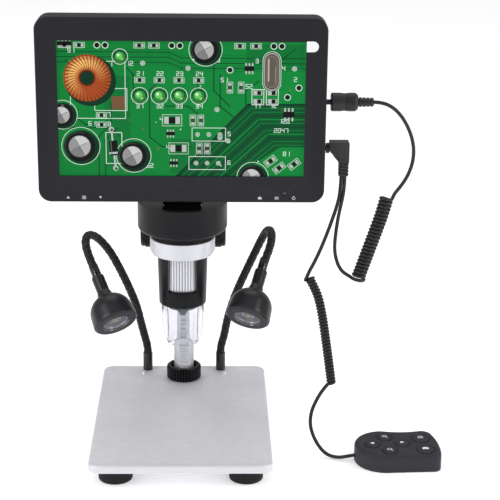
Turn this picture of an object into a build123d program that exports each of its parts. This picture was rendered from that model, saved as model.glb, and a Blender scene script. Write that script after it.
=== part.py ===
"""LCD digital microscope on a rack-and-pinion stand, with two gooseneck lamps and a wired remote.

Millimetres, +Z up. The origin is the centre of the base plate's footprint on the surface that the feet
stand on, +X is to the right of a person who faces the display, and +Y points away from that person.
"""

import os
from math import acos, asin, cos, pi, radians, sin, tan

from build123d import *

os.makedirs("parts", exist_ok=True)


def save(builder, name):
    """Label a finished sub-part and write it as its own STEP file."""
    builder.part.label = name
    export_step(builder.part, f"parts/{name}.step")


# ------------------------------------------------------------------ driving dimensions
SLIDE_FIT = 0.05  # radial clearance of a running fit
SEAT_FIT = 0.3  # gap between pieces that lie loosely beside each other

# Base plate and feet
BASE_WIDTH = 115.0
BASE_DEPTH = 165.0
BASE_THICKNESS = 5.0
BASE_CORNER_RADIUS = 7.0
BASE_CHAMFER = 0.8
FOOT_HEIGHT = 11.0
FOOT_RADIUS = 11.4
FOOT_TAPER = 0.7
FOOT_EDGE_RADIUS = 1.0
FOOT_INSET_X = 16.3
FOOT_INSET_Y = 17.5
FOOT_SCREW_RADIUS = 2.0
FOOT_SCREW_HEAD_RADIUS = 3.8
FOOT_SCREW_HEAD_HEIGHT = 2.4
FOOT_SCREW_BITE = 3.5
FOOT_RECESS_RADIUS = 4.6
FOOT_RECESS_DEPTH = 2.5
FOOT_SEAT_RADIUS = 4.0
FOOT_SEAT_DEPTH = 5.2

# Column, rack and lock ring
COLUMN_Y = BASE_DEPTH / 2 - 20.5
COLUMN_RADIUS = 7.0
COLUMN_LENGTH = 187.0
COLUMN_CHAMFER = 1.0
COLUMN_BOLT_RADIUS = 2.5
COLUMN_BOLT_HEAD_RADIUS = 5.0
COLUMN_BOLT_LENGTH = 18.0
LOCK_RING_RADIUS = 12.0
LOCK_RING_HEIGHT = 9.5
LOCK_RING_GROOVES = 36
LOCK_RING_GROOVE_RADIUS = 0.45
LOCK_RING_MOUTH_RADIUS = 9.0
LOCK_RING_MOUTH_DEPTH = 4.5
LOCK_RING_CHAMFER = 0.9
RACK_WIDTH = 6.0
RACK_SEAT_DEPTH = 3.0
RACK_PROUD = 1.5
RACK_TOP_MARGIN = 8.0
GEAR_MODULE = 0.6
GEAR_PRESSURE_ANGLE = 20.0
GEAR_BACKLASH = 0.16
TOOTH_TOP = 0.8  # height of a tooth above the pitch line, in modules
TOOTH_ROOT = 1.15  # depth of a tooth below the pitch line, in modules
PINION_TEETH = 18

# Lamp sockets in the plate
SOCKET_X = 26.0
SOCKET_Y = COLUMN_Y + 14.0
SOCKET_RADIUS = 3.4
SOCKET_HEIGHT = 13.4
SOCKET_STUD_RADIUS = 2.5
SOCKET_BORE_DEPTH = 8.0
SOCKET_CHAMFER = 0.5
DOME_SCREW_OFFSET_X = 2.3
DOME_SCREW_OFFSET_Y = -7.5
DOME_SCREW_RADIUS = 2.0
DOME_SCREW_HEIGHT = 1.4
DOME_SCREW_SHANK_RADIUS = 1.25

# Carriage on the column
CARRIAGE_WIDTH = 40.0
CARRIAGE_FRONT = 40.0
CARRIAGE_BACK = 75.0
CARRIAGE_HEIGHT = 21.0
CARRIAGE_CORNER = 4.0
PINION_Z = 129.0
PINION_SHAFT_RADIUS = 3.0
PINION_FACE_WIDTH = 5.4
PINION_ROOM = 0.6
KNOB_INNER_FACE = 21.0
KNOB_GRIP_WIDTH = 4.6
KNOB_CAP_WIDTH = 3.1
KNOB_RADIUS = 11.6
KNOB_CAP_RADIUS = 11.0
KNOB_GROOVES = 30
KNOB_GROOVE_RADIUS = 0.5

# Holder ring
SCOPE_Y = COLUMN_Y - 45.0
RING_RADIUS = 21.4
RING_BORE = 19.45
RING_BOTTOM = 123.5
RING_HEIGHT = 11.3
RING_STEP_RADIUS = 20.0
RING_STEP_HEIGHT = 2.2
RING_LUG_WIDTH = 26.0
RING_LUG_THICKNESS = 4.0
RING_CHAMFER = 0.5
RING_SCREW_X = 8.0
RING_SCREW_DROP = 2.8
RING_SCREW_RADIUS = 1.5
RING_SCREW_HEAD_RADIUS = 2.6
RING_SCREW_HEAD = 1.6
RING_SCREW_BITE = 4.5

# Barrel and its cap
BARREL_RADIUS = 29.3
BARREL_BOTTOM = 139.6
BARREL_HEIGHT = 19.5
BARREL_WALL = 2.4
BARREL_EDGE = 3.4
BARREL_FLOOR = 3.0
NECK_RADIUS = 19.4
NECK_WALL = 2.4
NECK_LENGTH = 15.2
CAP_THICKNESS = 3.0
POCKET_WIDTH = 25.0
POCKET_FRONT = -6.2
POCKET_BACK = 30.0
POCKET_DEPTH = 12.8
POCKET_WALL = 3.5
POCKET_FLOOR = 2.0

# Focus sleeve, wheel, lens and hood
SLEEVE_TOP_RADIUS = 16.5
SLEEVE_BOTTOM_RADIUS = 15.5
SLEEVE_COLLAR_TOP = 134.0
SLEEVE_BOTTOM = 88.8
SLEEVE_BORE = 14.75
SLEEVE_LIP_BORE = 11.0
SPIGOT_RADIUS = 12.6
SPIGOT_LENGTH = 4.0
WINDOW_HALF_ANGLE = 33.0
WINDOW_BOTTOM = 99.4
WINDOW_TOP = 122.6
WHEEL_RADIUS = 14.6
WHEEL_TOP = 122.5
WHEEL_COLLAR_RADIUS = 13.8
WHEEL_COLLAR_HEIGHT = 1.0
WHEEL_FLUTES = 48
WHEEL_FLUTE_RADIUS = 0.55
LENS_TUBE_RADIUS = 10.5
LENS_TUBE_WALL = 1.8
LENS_TUBE_BOTTOM = 87.3
LENS_TUBE_TOP = 119.0
NOSE_BASE_Z = 85.3
NOSE_BASE_RADIUS = 6.0
NOSE_TIP_Z = 79.6
NOSE_TIP_RADIUS = 1.9
FRONT_LENS_RADIUS = 1.3
SLEEVE_EDGE = 1.6
HOOD_WALL = 1.3
HOOD_RADII = ((88.8, 14.2), (74.0, 14.0), (68.0, 12.9), (64.0, 12.0), (60.6, 10.4))
LED_RING_THICKNESS = 1.2
LED_COUNT = 8
LED_SIZE = 1.8
LED_HEIGHT = 0.5
BAFFLE_RADIUS = 14.4
BAFFLE_BORE = 12.0
CAMERA_BOARD_RADIUS = 20.0
BOARD_THICKNESS = 1.2
SENSOR_SIZE = 8.0
SENSOR_HEIGHT = 1.4

# Display
LCD_WIDTH = 162.0
LCD_HEIGHT = 98.0
LCD_THICKNESS = 5.0
DISPLAY_WIDTH = LCD_WIDTH + 19.0
DISPLAY_HEIGHT = LCD_HEIGHT + 19.4
DISPLAY_BOTTOM = 164.6
DISPLAY_FRONT = -8.2
DISPLAY_THICKNESS = 20.0
DISPLAY_CORNER = 8.0
DISPLAY_FRONT_EDGE = 1.2
DISPLAY_BACK_EDGE = 3.0
DISPLAY_WALL = 2.2
DISPLAY_BACK_WALL = 2.0
SHELL_BOSS_WALL = 1.2
BEZEL_DEPTH = 14.0
BEZEL_FACE = 1.6
SCREEN_WIDTH = LCD_WIDTH - 7.8
SCREEN_HEIGHT = LCD_HEIGHT - 12.1
SCREEN_CENTRE_Z = 224.55
POST_X = DISPLAY_WIDTH / 2 - 5.5
POST_Z = 40.0
POST_RADIUS = 2.6
DISPLAY_SCREW_RADIUS = 1.25
DISPLAY_SCREW_HEAD_RADIUS = 2.3
DISPLAY_SCREW_HEAD = 1.2
DISPLAY_SCREW_LENGTH = 9.0
SCREW_RECESS = 0.2
POST_HOLE_DEPTH = 8.0
DRIVER_WIDTH = 62.0
DRIVER_HEIGHT = 66.0
DRIVER_X = 50.0
SPACER_HEIGHT = 1.6
SPACER_RADIUS = 2.0
DRIVER_CHIP_HEIGHT = 1.5
# Each chip's place from the board's centre, and its width and height.
DRIVER_CHIPS = ((-8.0, 6.0, 14.0, 14.0), (14.0, 10.0, 10.0, 12.0), (0.0, -22.0, 24.0, 5.0))
HINGE_Z = 154.0
HINGE_Y = 17.0
HINGE_KNUCKLE_RADIUS = 7.0
HINGE_PIN_RADIUS = 2.0
HINGE_SIDE_GAP = 0.5
HINGE_ARM_TOP = 186.0
HINGE_ARM_BACK = 21.0
HINGE_ARM_EDGE = 4.0
HINGE_SCREW_Z = (172.0, 180.0)
KEY_GROUP_X = ((-71.9, -61.8, -51.5), (49.5, 60.2, 71.1))
KEY_WIDTH = 7.4
KEY_DEPTH = 3.0
KEY_PROUD = 0.6
KEY_TRAVEL = 0.5
KEY_CLEARANCE = 0.12
KEY_FLANGE = 0.9
KEY_Y = -1.5
KEY_STRIP_MARGIN = 5.0
KEY_STRIP_THICKNESS = 1.2
KEY_STRIP_DEPTH = 8.0
KEY_STOP_GAP = 0.1
KEY_CHAMFER = 0.25
SWITCH_SIZE = 3.4
SWITCH_HEIGHT = 1.2
STATUS_X = 65.3
STATUS_Z = 170.9
STATUS_RADIUS = 1.6
JACK_Z = (228.0, 198.2)
JACK_RADIUS = 3.0
JACK_PIN_RADIUS = 1.75
JACK_BODY = 5.5
JACK_BODY_WIDTH = 6.4
JACK_BORE_DEPTH = 7.0
JACK_DEPTH_Y = 1.8
PIN_RADIUS = 1.7

# Plugs
PLUG_GAP = 3.4
PLUG_RADIUS = 5.9
PLUG_WAIST = 0.35
PLUG_LENGTH = 17.2
PLUG_RELIEF_LENGTH = 9.8
PLUG_RELIEF_RADIUS = 2.75
RELIEF_RIBS = 4
RELIEF_RIB_DEPTH = 0.45
RELIEF_TAPER = 0.12
ANGLE_COLLAR_RADIUS = 3.3
ANGLE_COLLAR_LENGTH = 2.2
ANGLE_BODY_LENGTH = 12.6
ANGLE_BODY_DEPTH = 8.4
ANGLE_BODY_HALF = 4.4
ANGLE_LEG_WIDTH = 6.6
ANGLE_LEG_BOTTOM = 189.0
ANGLE_RELIEF_BOTTOM = 180.2
ANGLE_RELIEF_DEPTH = 6.0

# Goosenecks and lamp heads
NECK_TUBE_RADIUS = 2.8
NECK_PIN_RADIUS = 2.0
NECK_RISE = 4.0  # straight length above a socket
NECK_APPROACH = 5.0  # straight length before a lamp head
NECK_ROUTE_LEFT = (
    (-28.3, 75.2, 42.4),
    (-30.6, 73.1, 53.2),
    (-33.2, 69.7, 66.7),
    (-38.0, 66.8, 80.7),
    (-44.2, 67.0, 94.5),
    (-50.6, 69.4, 105.9),
    (-57.1, 67.7, 115.2),
    (-62.3, 62.1, 121.2),
    (-65.7, 54.3, 123.2),
    (-66.5, 45.8, 121.1),
    (-64.5, 39.4, 115.5),
)
NECK_ROUTE_RIGHT = (
    (28.5, 75.3, 42.0),
    (30.2, 73.4, 53.4),
    (33.4, 70.7, 67.0),
    (38.3, 68.9, 81.2),
    (44.5, 70.1, 94.9),
    (50.2, 72.3, 106.7),
    (54.5, 69.9, 117.1),
    (57.4, 63.9, 124.2),
    (59.6, 55.8, 126.9),
    (60.2, 47.2, 125.3),
    (58.9, 40.4, 120.0),
)
LAMP_NECK_LEFT = (-57.5, 32.0, 100.7)
LAMP_NECK_RIGHT = (52.7, 32.0, 105.3)
LAMP_AXIS_LEFT = (0.37, -0.65, -0.66)
LAMP_AXIS_RIGHT = (-0.27, -0.68, -0.68)
LAMP_LENGTH = 37.0
LAMP_RADIUS = 15.0
LAMP_NECK_RADIUS = 4.3
LAMP_SOCKET_DEPTH = 9.0
LAMP_FACE_EDGE = 1.2
LAMP_NECK_EDGE = 0.3
LAMP_NECK_FLARE = 2.0
LAMP_RIM_WIDTH = 3.0
# The bell from the neck to the rim, as (radius, distance along the lamp): the ends of two arcs and their middles.
LAMP_BELL = ((5.0, 14.0), (6.1, 16.6), (9.0, 18.0), (12.4, 21.6), (14.4, 27.6))
LAMP_WINDOW_RADIUS = 9.3
LAMP_WINDOW_DEPTH = 2.6
LAMP_REFLECTOR_DEPTH = 9.0
LAMP_LENS_THICKNESS = 1.2
LAMP_LEDGE = 1.0
LAMP_LED_SEAT_RADIUS = 3.0

# Leads
POWER_LEAD_DIAMETER = 2.2
POWER_COIL_DIAMETER = 9.0
REMOTE_LEAD_DIAMETER = 2.0
REMOTE_COIL_DIAMETER = 6.3
LEAD_Y = 1.8
LEAD_SPACING = 2.3
POWER_OUT = (
    (127.5, LEAD_Y, 228.0),
    (135.6, LEAD_Y, 223.6),
    (143.0, LEAD_Y, 213.0),
    (147.9, LEAD_Y, 199.5),
    (147.8, LEAD_Y, 186.0),
    (143.2, LEAD_Y, 175.6),
    (133.4, LEAD_Y, 169.8),
)
POWER_COIL = (
    (132.6, LEAD_Y, 163.0),
    (131.3, LEAD_Y, 152.0),
    (127.0, LEAD_Y, 140.5),
    (121.9, LEAD_Y, 127.5),
    (116.5, LEAD_Y, 112.2),
)
POWER_BACK = (
    (114.5, LEAD_Y, 106.7),
    (110.1, LEAD_Y, 104.4),
    (105.4, LEAD_Y, 106.4),
    (102.2, LEAD_Y, 113.0),
    (99.9, LEAD_Y, 124.0),
    (99.9, LEAD_Y, 138.0),
    (102.0, LEAD_Y, 153.0),
)
REMOTE_DOWN = (
    (98.6, 1.5, 157.5),
    (91.8, -0.9, 141.5),
    (84.2, -3.8, 125.5),
    (79.7, -5.3, 118.7),
)
REMOTE_COIL = (
    (82.4, -6.6, 113.6),
    (88.9, -9.8, 101.5),
    (92.0, -13.3, 83.0),
    (94.2, -16.4, 65.0),
    (97.3, -19.6, 47.5),
)
REMOTE_TAIL = (
    (98.4, -20.7, 41.2),
    (91.0, -23.0, 36.0),
    (85.5, -25.8, 27.5),
    (83.8, -29.0, 17.0),
    (87.5, -32.4, 7.2),
    (94.5, -36.2, 1.9),
    (101.0, -39.8, 1.6),
    (107.5, -41.8, 4.4),
)
LEAD_TURN_Z = 168.0  # above this the two leads hang straight from the right-angle plug

# Remote control
REMOTE_HEIGHT = 12.5
REMOTE_SPLIT = 7.0
REMOTE_WALL = 1.8
REMOTE_BACK_LOBE = (131.0, -21.0)
REMOTE_LEFT_END = (112.0, -40.8)
REMOTE_FRONT_LOBE = (133.0, -60.0)
REMOTE_FRONT_WAIST = (150.0, -59.0)
REMOTE_FRONT_CORNER = (166.0, -58.4)
REMOTE_RIGHT_SIDE = (167.0, -40.0)
REMOTE_BACK_CORNER = (161.8, -18.8)
REMOTE_BACK_WAIST = (146.0, -22.5)
REMOTE_CORNER_FRONT_RADIUS = 5.0
REMOTE_CORNER_BACK_RADIUS = 7.0
REMOTE_LOBE_RADIUS = 6.0
REMOTE_TOP_EDGE = 2.4
REMOTE_BOTTOM_EDGE = 1.0
REMOTE_ENTRY_END = (117.0, -41.8, 4.4)
REMOTE_PAD_CENTRE = (133.0, -42.2)
REMOTE_PAD_RADIUS = 9.8
REMOTE_PAD_TURN = 4.0
REMOTE_KEY_RADIUS = 4.5
REMOTE_WIDE_KEY_RADIUS = 5.6
REMOTE_WIDE_KEYS = ((155.6, -33.8), (156.8, -50.4))
REMOTE_KEY_PROUD = 0.9
REMOTE_KEY_TRAVEL = 0.8
REMOTE_KEY_GAP = 0.25
REMOTE_KEY_FLANGE = 0.8
REMOTE_DISH = 0.7
REMOTE_DISH_FLOOR = 0.3
REMOTE_DISH_RIM = 1.6
REMOTE_KEY_SHOULDER = 0.5
REMOTE_POSTS = ((121.0, -31.0), (121.5, -51.5), (146.5, -32.0), (147.5, -51.0), (162.5, -41.5))
REMOTE_POST_RADIUS = 1.6
REMOTE_ENTRY_REACH = 12.0
REMOTE_BOARD_Z = 6.0

# ------------------------------------------------------------------ derived places
PLATE_TOP = FOOT_HEIGHT + BASE_THICKNESS
LOCK_RING_TOP = PLATE_TOP + LOCK_RING_HEIGHT
COLUMN_TOP = PLATE_TOP + COLUMN_LENGTH
FOOT_SPACING_X = BASE_WIDTH - 2 * FOOT_INSET_X
FOOT_SPACING_Y = BASE_DEPTH - 2 * FOOT_INSET_Y
RACK_BACK = COLUMN_Y - COLUMN_RADIUS + RACK_SEAT_DEPTH
RACK_TIP = COLUMN_Y - COLUMN_RADIUS - RACK_PROUD
RACK_PITCH_LINE = RACK_TIP + TOOTH_TOP * GEAR_MODULE
PINION_RADIUS = GEAR_MODULE * PINION_TEETH / 2
PINION_Y = RACK_PITCH_LINE - PINION_RADIUS
PINION_TIP_RADIUS = PINION_RADIUS + TOOTH_TOP * GEAR_MODULE
TOOTH_PITCH = pi * GEAR_MODULE
BARREL_TOP = BARREL_BOTTOM + BARREL_HEIGHT
RING_TOP = RING_BOTTOM + RING_HEIGHT
CARRIAGE_BOTTOM = PINION_Z - CARRIAGE_HEIGHT / 2
DISPLAY_CENTRE_Z = DISPLAY_BOTTOM + DISPLAY_HEIGHT / 2
DISPLAY_BACK = DISPLAY_FRONT + DISPLAY_THICKNESS
BEZEL_BACK = DISPLAY_FRONT + BEZEL_DEPTH
LCD_FRONT = DISPLAY_FRONT + BEZEL_FACE
LCD_BACK = LCD_FRONT + LCD_THICKNESS
DISPLAY_SIDE = DISPLAY_WIDTH / 2
DRIVER_FRONT = LCD_BACK + SPACER_HEIGHT
PLUG_START = DISPLAY_SIDE + PLUG_GAP
PLUG_END = PLUG_START + PLUG_LENGTH
PLUG_RELIEF_END = PLUG_END + PLUG_RELIEF_LENGTH
ANGLE_START = DISPLAY_SIDE + 1.0
ANGLE_BODY_START = ANGLE_START + ANGLE_COLLAR_LENGTH
ANGLE_BODY_END = ANGLE_BODY_START + ANGLE_BODY_LENGTH
ANGLE_LEG_X = ANGLE_BODY_END - ANGLE_LEG_WIDTH / 2
POWER_LEAD_X = ANGLE_LEG_X + LEAD_SPACING / 2
REMOTE_LEAD_X = ANGLE_LEG_X - LEAD_SPACING / 2


def dome_arc(radius, base, top):
    """An arc of a ball's outline from a dome's rim to its top, for a half profile beside the axis."""
    ball = (radius**2 + (top - base) ** 2) / (2 * (top - base))
    half_angle = asin(radius / ball) / 2
    middle = (ball * sin(half_angle), top - ball + ball * cos(half_angle))
    return ThreePointArc((radius, base), middle, (0, top))


def unit(vector):
    """A direction as a unit Vector."""
    return Vector(*vector).normalized()


def route_path(points, diameter, name):
    """Straight runs joined by arcs, each as large as its two runs allow, and each radius is printed."""
    corners = [Vector(*point) for point in points]
    radii = []
    for before, corner, after in zip(corners, corners[1:], corners[2:]):
        incoming = corner - before
        outgoing = after - corner
        shorter_run = min(incoming.length, outgoing.length)
        turn = radians(incoming.get_angle(outgoing))
        radii.append(0.45 * shorter_run / tan(turn / 2))
    print(name, "arc radii in diameters:", [round(radius / diameter, 1) for radius in radii])
    return FilletPolyline(*points, radius=radii)


def sweep_tube(points, radius, name):
    """A round tube along a route, as a finished part, with its volume compared with its section."""
    with BuildPart() as tube:
        with BuildLine() as line:
            route_path(points, 2 * radius, name)
        path = line.wires()[0]
        with BuildSketch(Plane(origin=path @ 0, z_dir=path % 0)):
            Circle(radius)
        sweep(path=path)
    expected = pi * radius**2 * path.length
    print(name, "length", round(path.length, 1), "volume ratio", round(tube.part.volume / expected, 4))
    return tube


# ------------------------------------------------------------------ base plate and feet
with BuildPart() as base_plate:
    with BuildSketch(Plane.XY.offset(FOOT_HEIGHT)):
        RectangleRounded(BASE_WIDTH, BASE_DEPTH, BASE_CORNER_RADIUS)
    extrude(amount=BASE_THICKNESS)
    chamfer(base_plate.faces().sort_by(Axis.Z)[-1].edges(), BASE_CHAMFER)
    chamfer(base_plate.faces().sort_by(Axis.Z)[0].edges(), BASE_CHAMFER / 2)
    with Locations(Plane(origin=(0, COLUMN_Y, FOOT_HEIGHT), z_dir=(0, 0, -1))):
        CounterSinkHole(COLUMN_BOLT_RADIUS, COLUMN_BOLT_HEAD_RADIUS, depth=BASE_THICKNESS, counter_sink_angle=90)
    with BuildSketch(Plane.XY.offset(FOOT_HEIGHT)):
        with GridLocations(FOOT_SPACING_X, FOOT_SPACING_Y, 2, 2):
            Circle(FOOT_SCREW_RADIUS)
    extrude(amount=FOOT_SCREW_BITE, mode=Mode.SUBTRACT)
    with BuildSketch(Plane.XY.offset(FOOT_HEIGHT)):
        with Locations((-SOCKET_X, SOCKET_Y), (SOCKET_X, SOCKET_Y)):
            Circle(SOCKET_STUD_RADIUS)
        for side in (-1, 1):
            with Locations((side * (SOCKET_X + DOME_SCREW_OFFSET_X), SOCKET_Y + DOME_SCREW_OFFSET_Y)):
                Circle(DOME_SCREW_SHANK_RADIUS)
    extrude(amount=BASE_THICKNESS, mode=Mode.SUBTRACT)
save(base_plate, "base_plate")

with BuildPart() as rubber_feet:
    with GridLocations(FOOT_SPACING_X, FOOT_SPACING_Y, 2, 2):
        Cone(FOOT_RADIUS - FOOT_TAPER, FOOT_RADIUS, FOOT_HEIGHT, align=(Align.CENTER, Align.CENTER, Align.MIN))
    fillet(rubber_feet.faces().group_by(Axis.Z)[0].edges(), FOOT_EDGE_RADIUS)
    with GridLocations(FOOT_SPACING_X, FOOT_SPACING_Y, 2, 2):
        for radius, depth in ((FOOT_RECESS_RADIUS, FOOT_RECESS_DEPTH), (FOOT_SEAT_RADIUS, FOOT_SEAT_DEPTH)):
            Cylinder(radius, depth, align=(Align.CENTER, Align.CENTER, Align.MIN), mode=Mode.SUBTRACT)
        Hole(FOOT_SCREW_RADIUS)
save(rubber_feet, "rubber_feet")

with BuildPart() as foot_screws:
    with BuildSketch(Plane.XY.offset(FOOT_SEAT_DEPTH - FOOT_SCREW_HEAD_HEIGHT)):
        with GridLocations(FOOT_SPACING_X, FOOT_SPACING_Y, 2, 2):
            Circle(FOOT_SCREW_HEAD_RADIUS)
    extrude(amount=FOOT_SCREW_HEAD_HEIGHT)
    fillet(foot_screws.faces().group_by(Axis.Z)[0].edges(), FOOT_SCREW_HEAD_HEIGHT / 3)
    with BuildSketch(Plane.XY.offset(FOOT_SEAT_DEPTH)):
        with GridLocations(FOOT_SPACING_X, FOOT_SPACING_Y, 2, 2):
            Circle(FOOT_SCREW_RADIUS)
    extrude(amount=FOOT_HEIGHT + FOOT_SCREW_BITE - FOOT_SEAT_DEPTH)
save(foot_screws, "foot_screws")

# ------------------------------------------------------------------ column, rack and lock ring
with BuildPart() as column_bar:
    with BuildSketch(Plane.XY.offset(PLATE_TOP)):
        with Locations((0, COLUMN_Y)):
            Circle(COLUMN_RADIUS)
    extrude(amount=COLUMN_LENGTH)
    chamfer(column_bar.faces().sort_by(Axis.Z)[-1].edges(), COLUMN_CHAMFER)
    with BuildSketch(Plane.XY.offset(PLATE_TOP)):
        with Locations((0, COLUMN_Y)):
            Circle(COLUMN_BOLT_RADIUS)
    extrude(amount=COLUMN_BOLT_LENGTH - BASE_THICKNESS, mode=Mode.SUBTRACT)
    with BuildSketch(Plane.XY.offset(LOCK_RING_TOP)):
        with Locations((0, RACK_BACK)):
            Rectangle(RACK_WIDTH, 2 * COLUMN_RADIUS, align=(Align.CENTER, Align.MAX))
    extrude(amount=COLUMN_LENGTH, mode=Mode.SUBTRACT)
save(column_bar, "column_bar")


def rack_outline():
    """The rack's side outline, with a tooth gap level with the pinion's axis."""
    slope = tan(radians(GEAR_PRESSURE_ANGLE))
    half_tooth = (TOOTH_PITCH / 2 - GEAR_BACKLASH / 2) / 2
    half_tip = half_tooth - slope * TOOTH_TOP * GEAR_MODULE
    half_root = half_tooth + slope * TOOTH_ROOT * GEAR_MODULE
    root_line = RACK_PITCH_LINE + TOOTH_ROOT * GEAR_MODULE
    lowest = LOCK_RING_TOP + half_root
    highest = COLUMN_TOP - RACK_TOP_MARGIN - half_root
    first = int((lowest - PINION_Z) / TOOTH_PITCH)
    last = int((highest - PINION_Z) / TOOTH_PITCH) - 1
    points = [(RACK_BACK, LOCK_RING_TOP), (root_line, LOCK_RING_TOP)]
    for index in range(first, last + 1):
        middle = PINION_Z + (index + 0.5) * TOOTH_PITCH
        points.append((root_line, middle - half_root))
        points.append((RACK_TIP, middle - half_tip))
        points.append((RACK_TIP, middle + half_tip))
        points.append((root_line, middle + half_root))
    points.append((root_line, COLUMN_TOP - RACK_TOP_MARGIN))
    points.append((RACK_BACK, COLUMN_TOP - RACK_TOP_MARGIN))
    return points


with BuildPart() as column_rack:
    with BuildSketch(Plane.YZ):
        with BuildLine():
            Polyline(*rack_outline(), close=True)
        make_face()
    extrude(amount=RACK_WIDTH / 2, both=True)
save(column_rack, "column_rack")

with BuildPart() as column_lock_ring:
    with BuildSketch(Plane.XY.offset(PLATE_TOP)):
        with Locations((0, COLUMN_Y)):
            Circle(LOCK_RING_RADIUS)
            Circle(COLUMN_RADIUS, mode=Mode.SUBTRACT)
    extrude(amount=LOCK_RING_HEIGHT)
    with BuildSketch(Plane.XY.offset(LOCK_RING_TOP)):
        with Locations((0, COLUMN_Y)):
            Circle(LOCK_RING_MOUTH_RADIUS)
    extrude(amount=-LOCK_RING_MOUTH_DEPTH, mode=Mode.SUBTRACT)
    chamfer(column_lock_ring.edges().filter_by(GeomType.CIRCLE).group_by(SortBy.RADIUS)[-1], LOCK_RING_CHAMFER)
    with BuildSketch(Plane.XY.offset(PLATE_TOP)):
        with Locations((0, COLUMN_Y)):
            with PolarLocations(LOCK_RING_RADIUS, LOCK_RING_GROOVES):
                RegularPolygon(LOCK_RING_GROOVE_RADIUS * 1.6, 3, rotation=180)
    extrude(amount=LOCK_RING_HEIGHT, mode=Mode.SUBTRACT)
save(column_lock_ring, "column_lock_ring")

with BuildPart() as column_bolt:
    sink_depth = COLUMN_BOLT_HEAD_RADIUS - COLUMN_BOLT_RADIUS
    with BuildSketch(Plane.YZ):
        with BuildLine():
            Polyline(
                (COLUMN_Y, FOOT_HEIGHT),
                (COLUMN_Y + COLUMN_BOLT_HEAD_RADIUS, FOOT_HEIGHT),
                (COLUMN_Y + COLUMN_BOLT_RADIUS, FOOT_HEIGHT + sink_depth),
                (COLUMN_Y + COLUMN_BOLT_RADIUS, FOOT_HEIGHT + COLUMN_BOLT_LENGTH),
                (COLUMN_Y, FOOT_HEIGHT + COLUMN_BOLT_LENGTH),
                close=True,
            )
        make_face()
    revolve(axis=Axis((0, COLUMN_Y, 0), (0, 0, 1)))
    with BuildSketch(Plane.XY.offset(FOOT_HEIGHT)):
        with Locations((0, COLUMN_Y)):
            RegularPolygon(COLUMN_BOLT_RADIUS * 0.7, 6)
    extrude(amount=COLUMN_BOLT_RADIUS, mode=Mode.SUBTRACT)
save(column_bolt, "column_bolt")

# ------------------------------------------------------------------ lamp sockets
with BuildPart() as neck_sockets:
    with BuildSketch(Plane.XY.offset(PLATE_TOP)):
        with GridLocations(2 * SOCKET_X, 0, 2, 1):
            with Locations((0, SOCKET_Y)):
                Circle(SOCKET_RADIUS)
    extrude(amount=SOCKET_HEIGHT)
    chamfer(neck_sockets.faces().group_by(Axis.Z)[-1].edges(), SOCKET_CHAMFER)
    with BuildSketch(Plane.XY.offset(FOOT_HEIGHT)):
        with GridLocations(2 * SOCKET_X, 0, 2, 1):
            with Locations((0, SOCKET_Y)):
                Circle(SOCKET_STUD_RADIUS)
    extrude(amount=BASE_THICKNESS)
    with BuildSketch(Plane.XY.offset(PLATE_TOP + SOCKET_HEIGHT)):
        with GridLocations(2 * SOCKET_X, 0, 2, 1):
            with Locations((0, SOCKET_Y)):
                Circle(NECK_PIN_RADIUS + SLIDE_FIT)
    extrude(amount=-SOCKET_BORE_DEPTH, mode=Mode.SUBTRACT)
save(neck_sockets, "neck_sockets")

with BuildPart() as dome_screws:
    for side in (-1, 1):
        screw_x = side * (SOCKET_X + DOME_SCREW_OFFSET_X)
        screw_y = SOCKET_Y + DOME_SCREW_OFFSET_Y
        with BuildSketch(Plane(origin=(screw_x, screw_y, PLATE_TOP), x_dir=(1, 0, 0), z_dir=(0, -1, 0))):
            with BuildLine():
                Line((0, -BASE_THICKNESS), (DOME_SCREW_SHANK_RADIUS, -BASE_THICKNESS))
                Line((DOME_SCREW_SHANK_RADIUS, -BASE_THICKNESS), (DOME_SCREW_SHANK_RADIUS, 0))
                Line((DOME_SCREW_SHANK_RADIUS, 0), (DOME_SCREW_RADIUS, 0))
                dome_arc(DOME_SCREW_RADIUS, 0, DOME_SCREW_HEIGHT)
                Line((0, DOME_SCREW_HEIGHT), (0, -BASE_THICKNESS))
            make_face()
        revolve(axis=Axis((screw_x, screw_y, 0), (0, 0, 1)))
save(dome_screws, "dome_screws")

# ------------------------------------------------------------------ carriage, pinion and knobs
CAVITY_RADIUS = PINION_TIP_RADIUS + PINION_ROOM
CAVITY_HALF = PINION_FACE_WIDTH / 2 + PINION_ROOM

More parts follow.
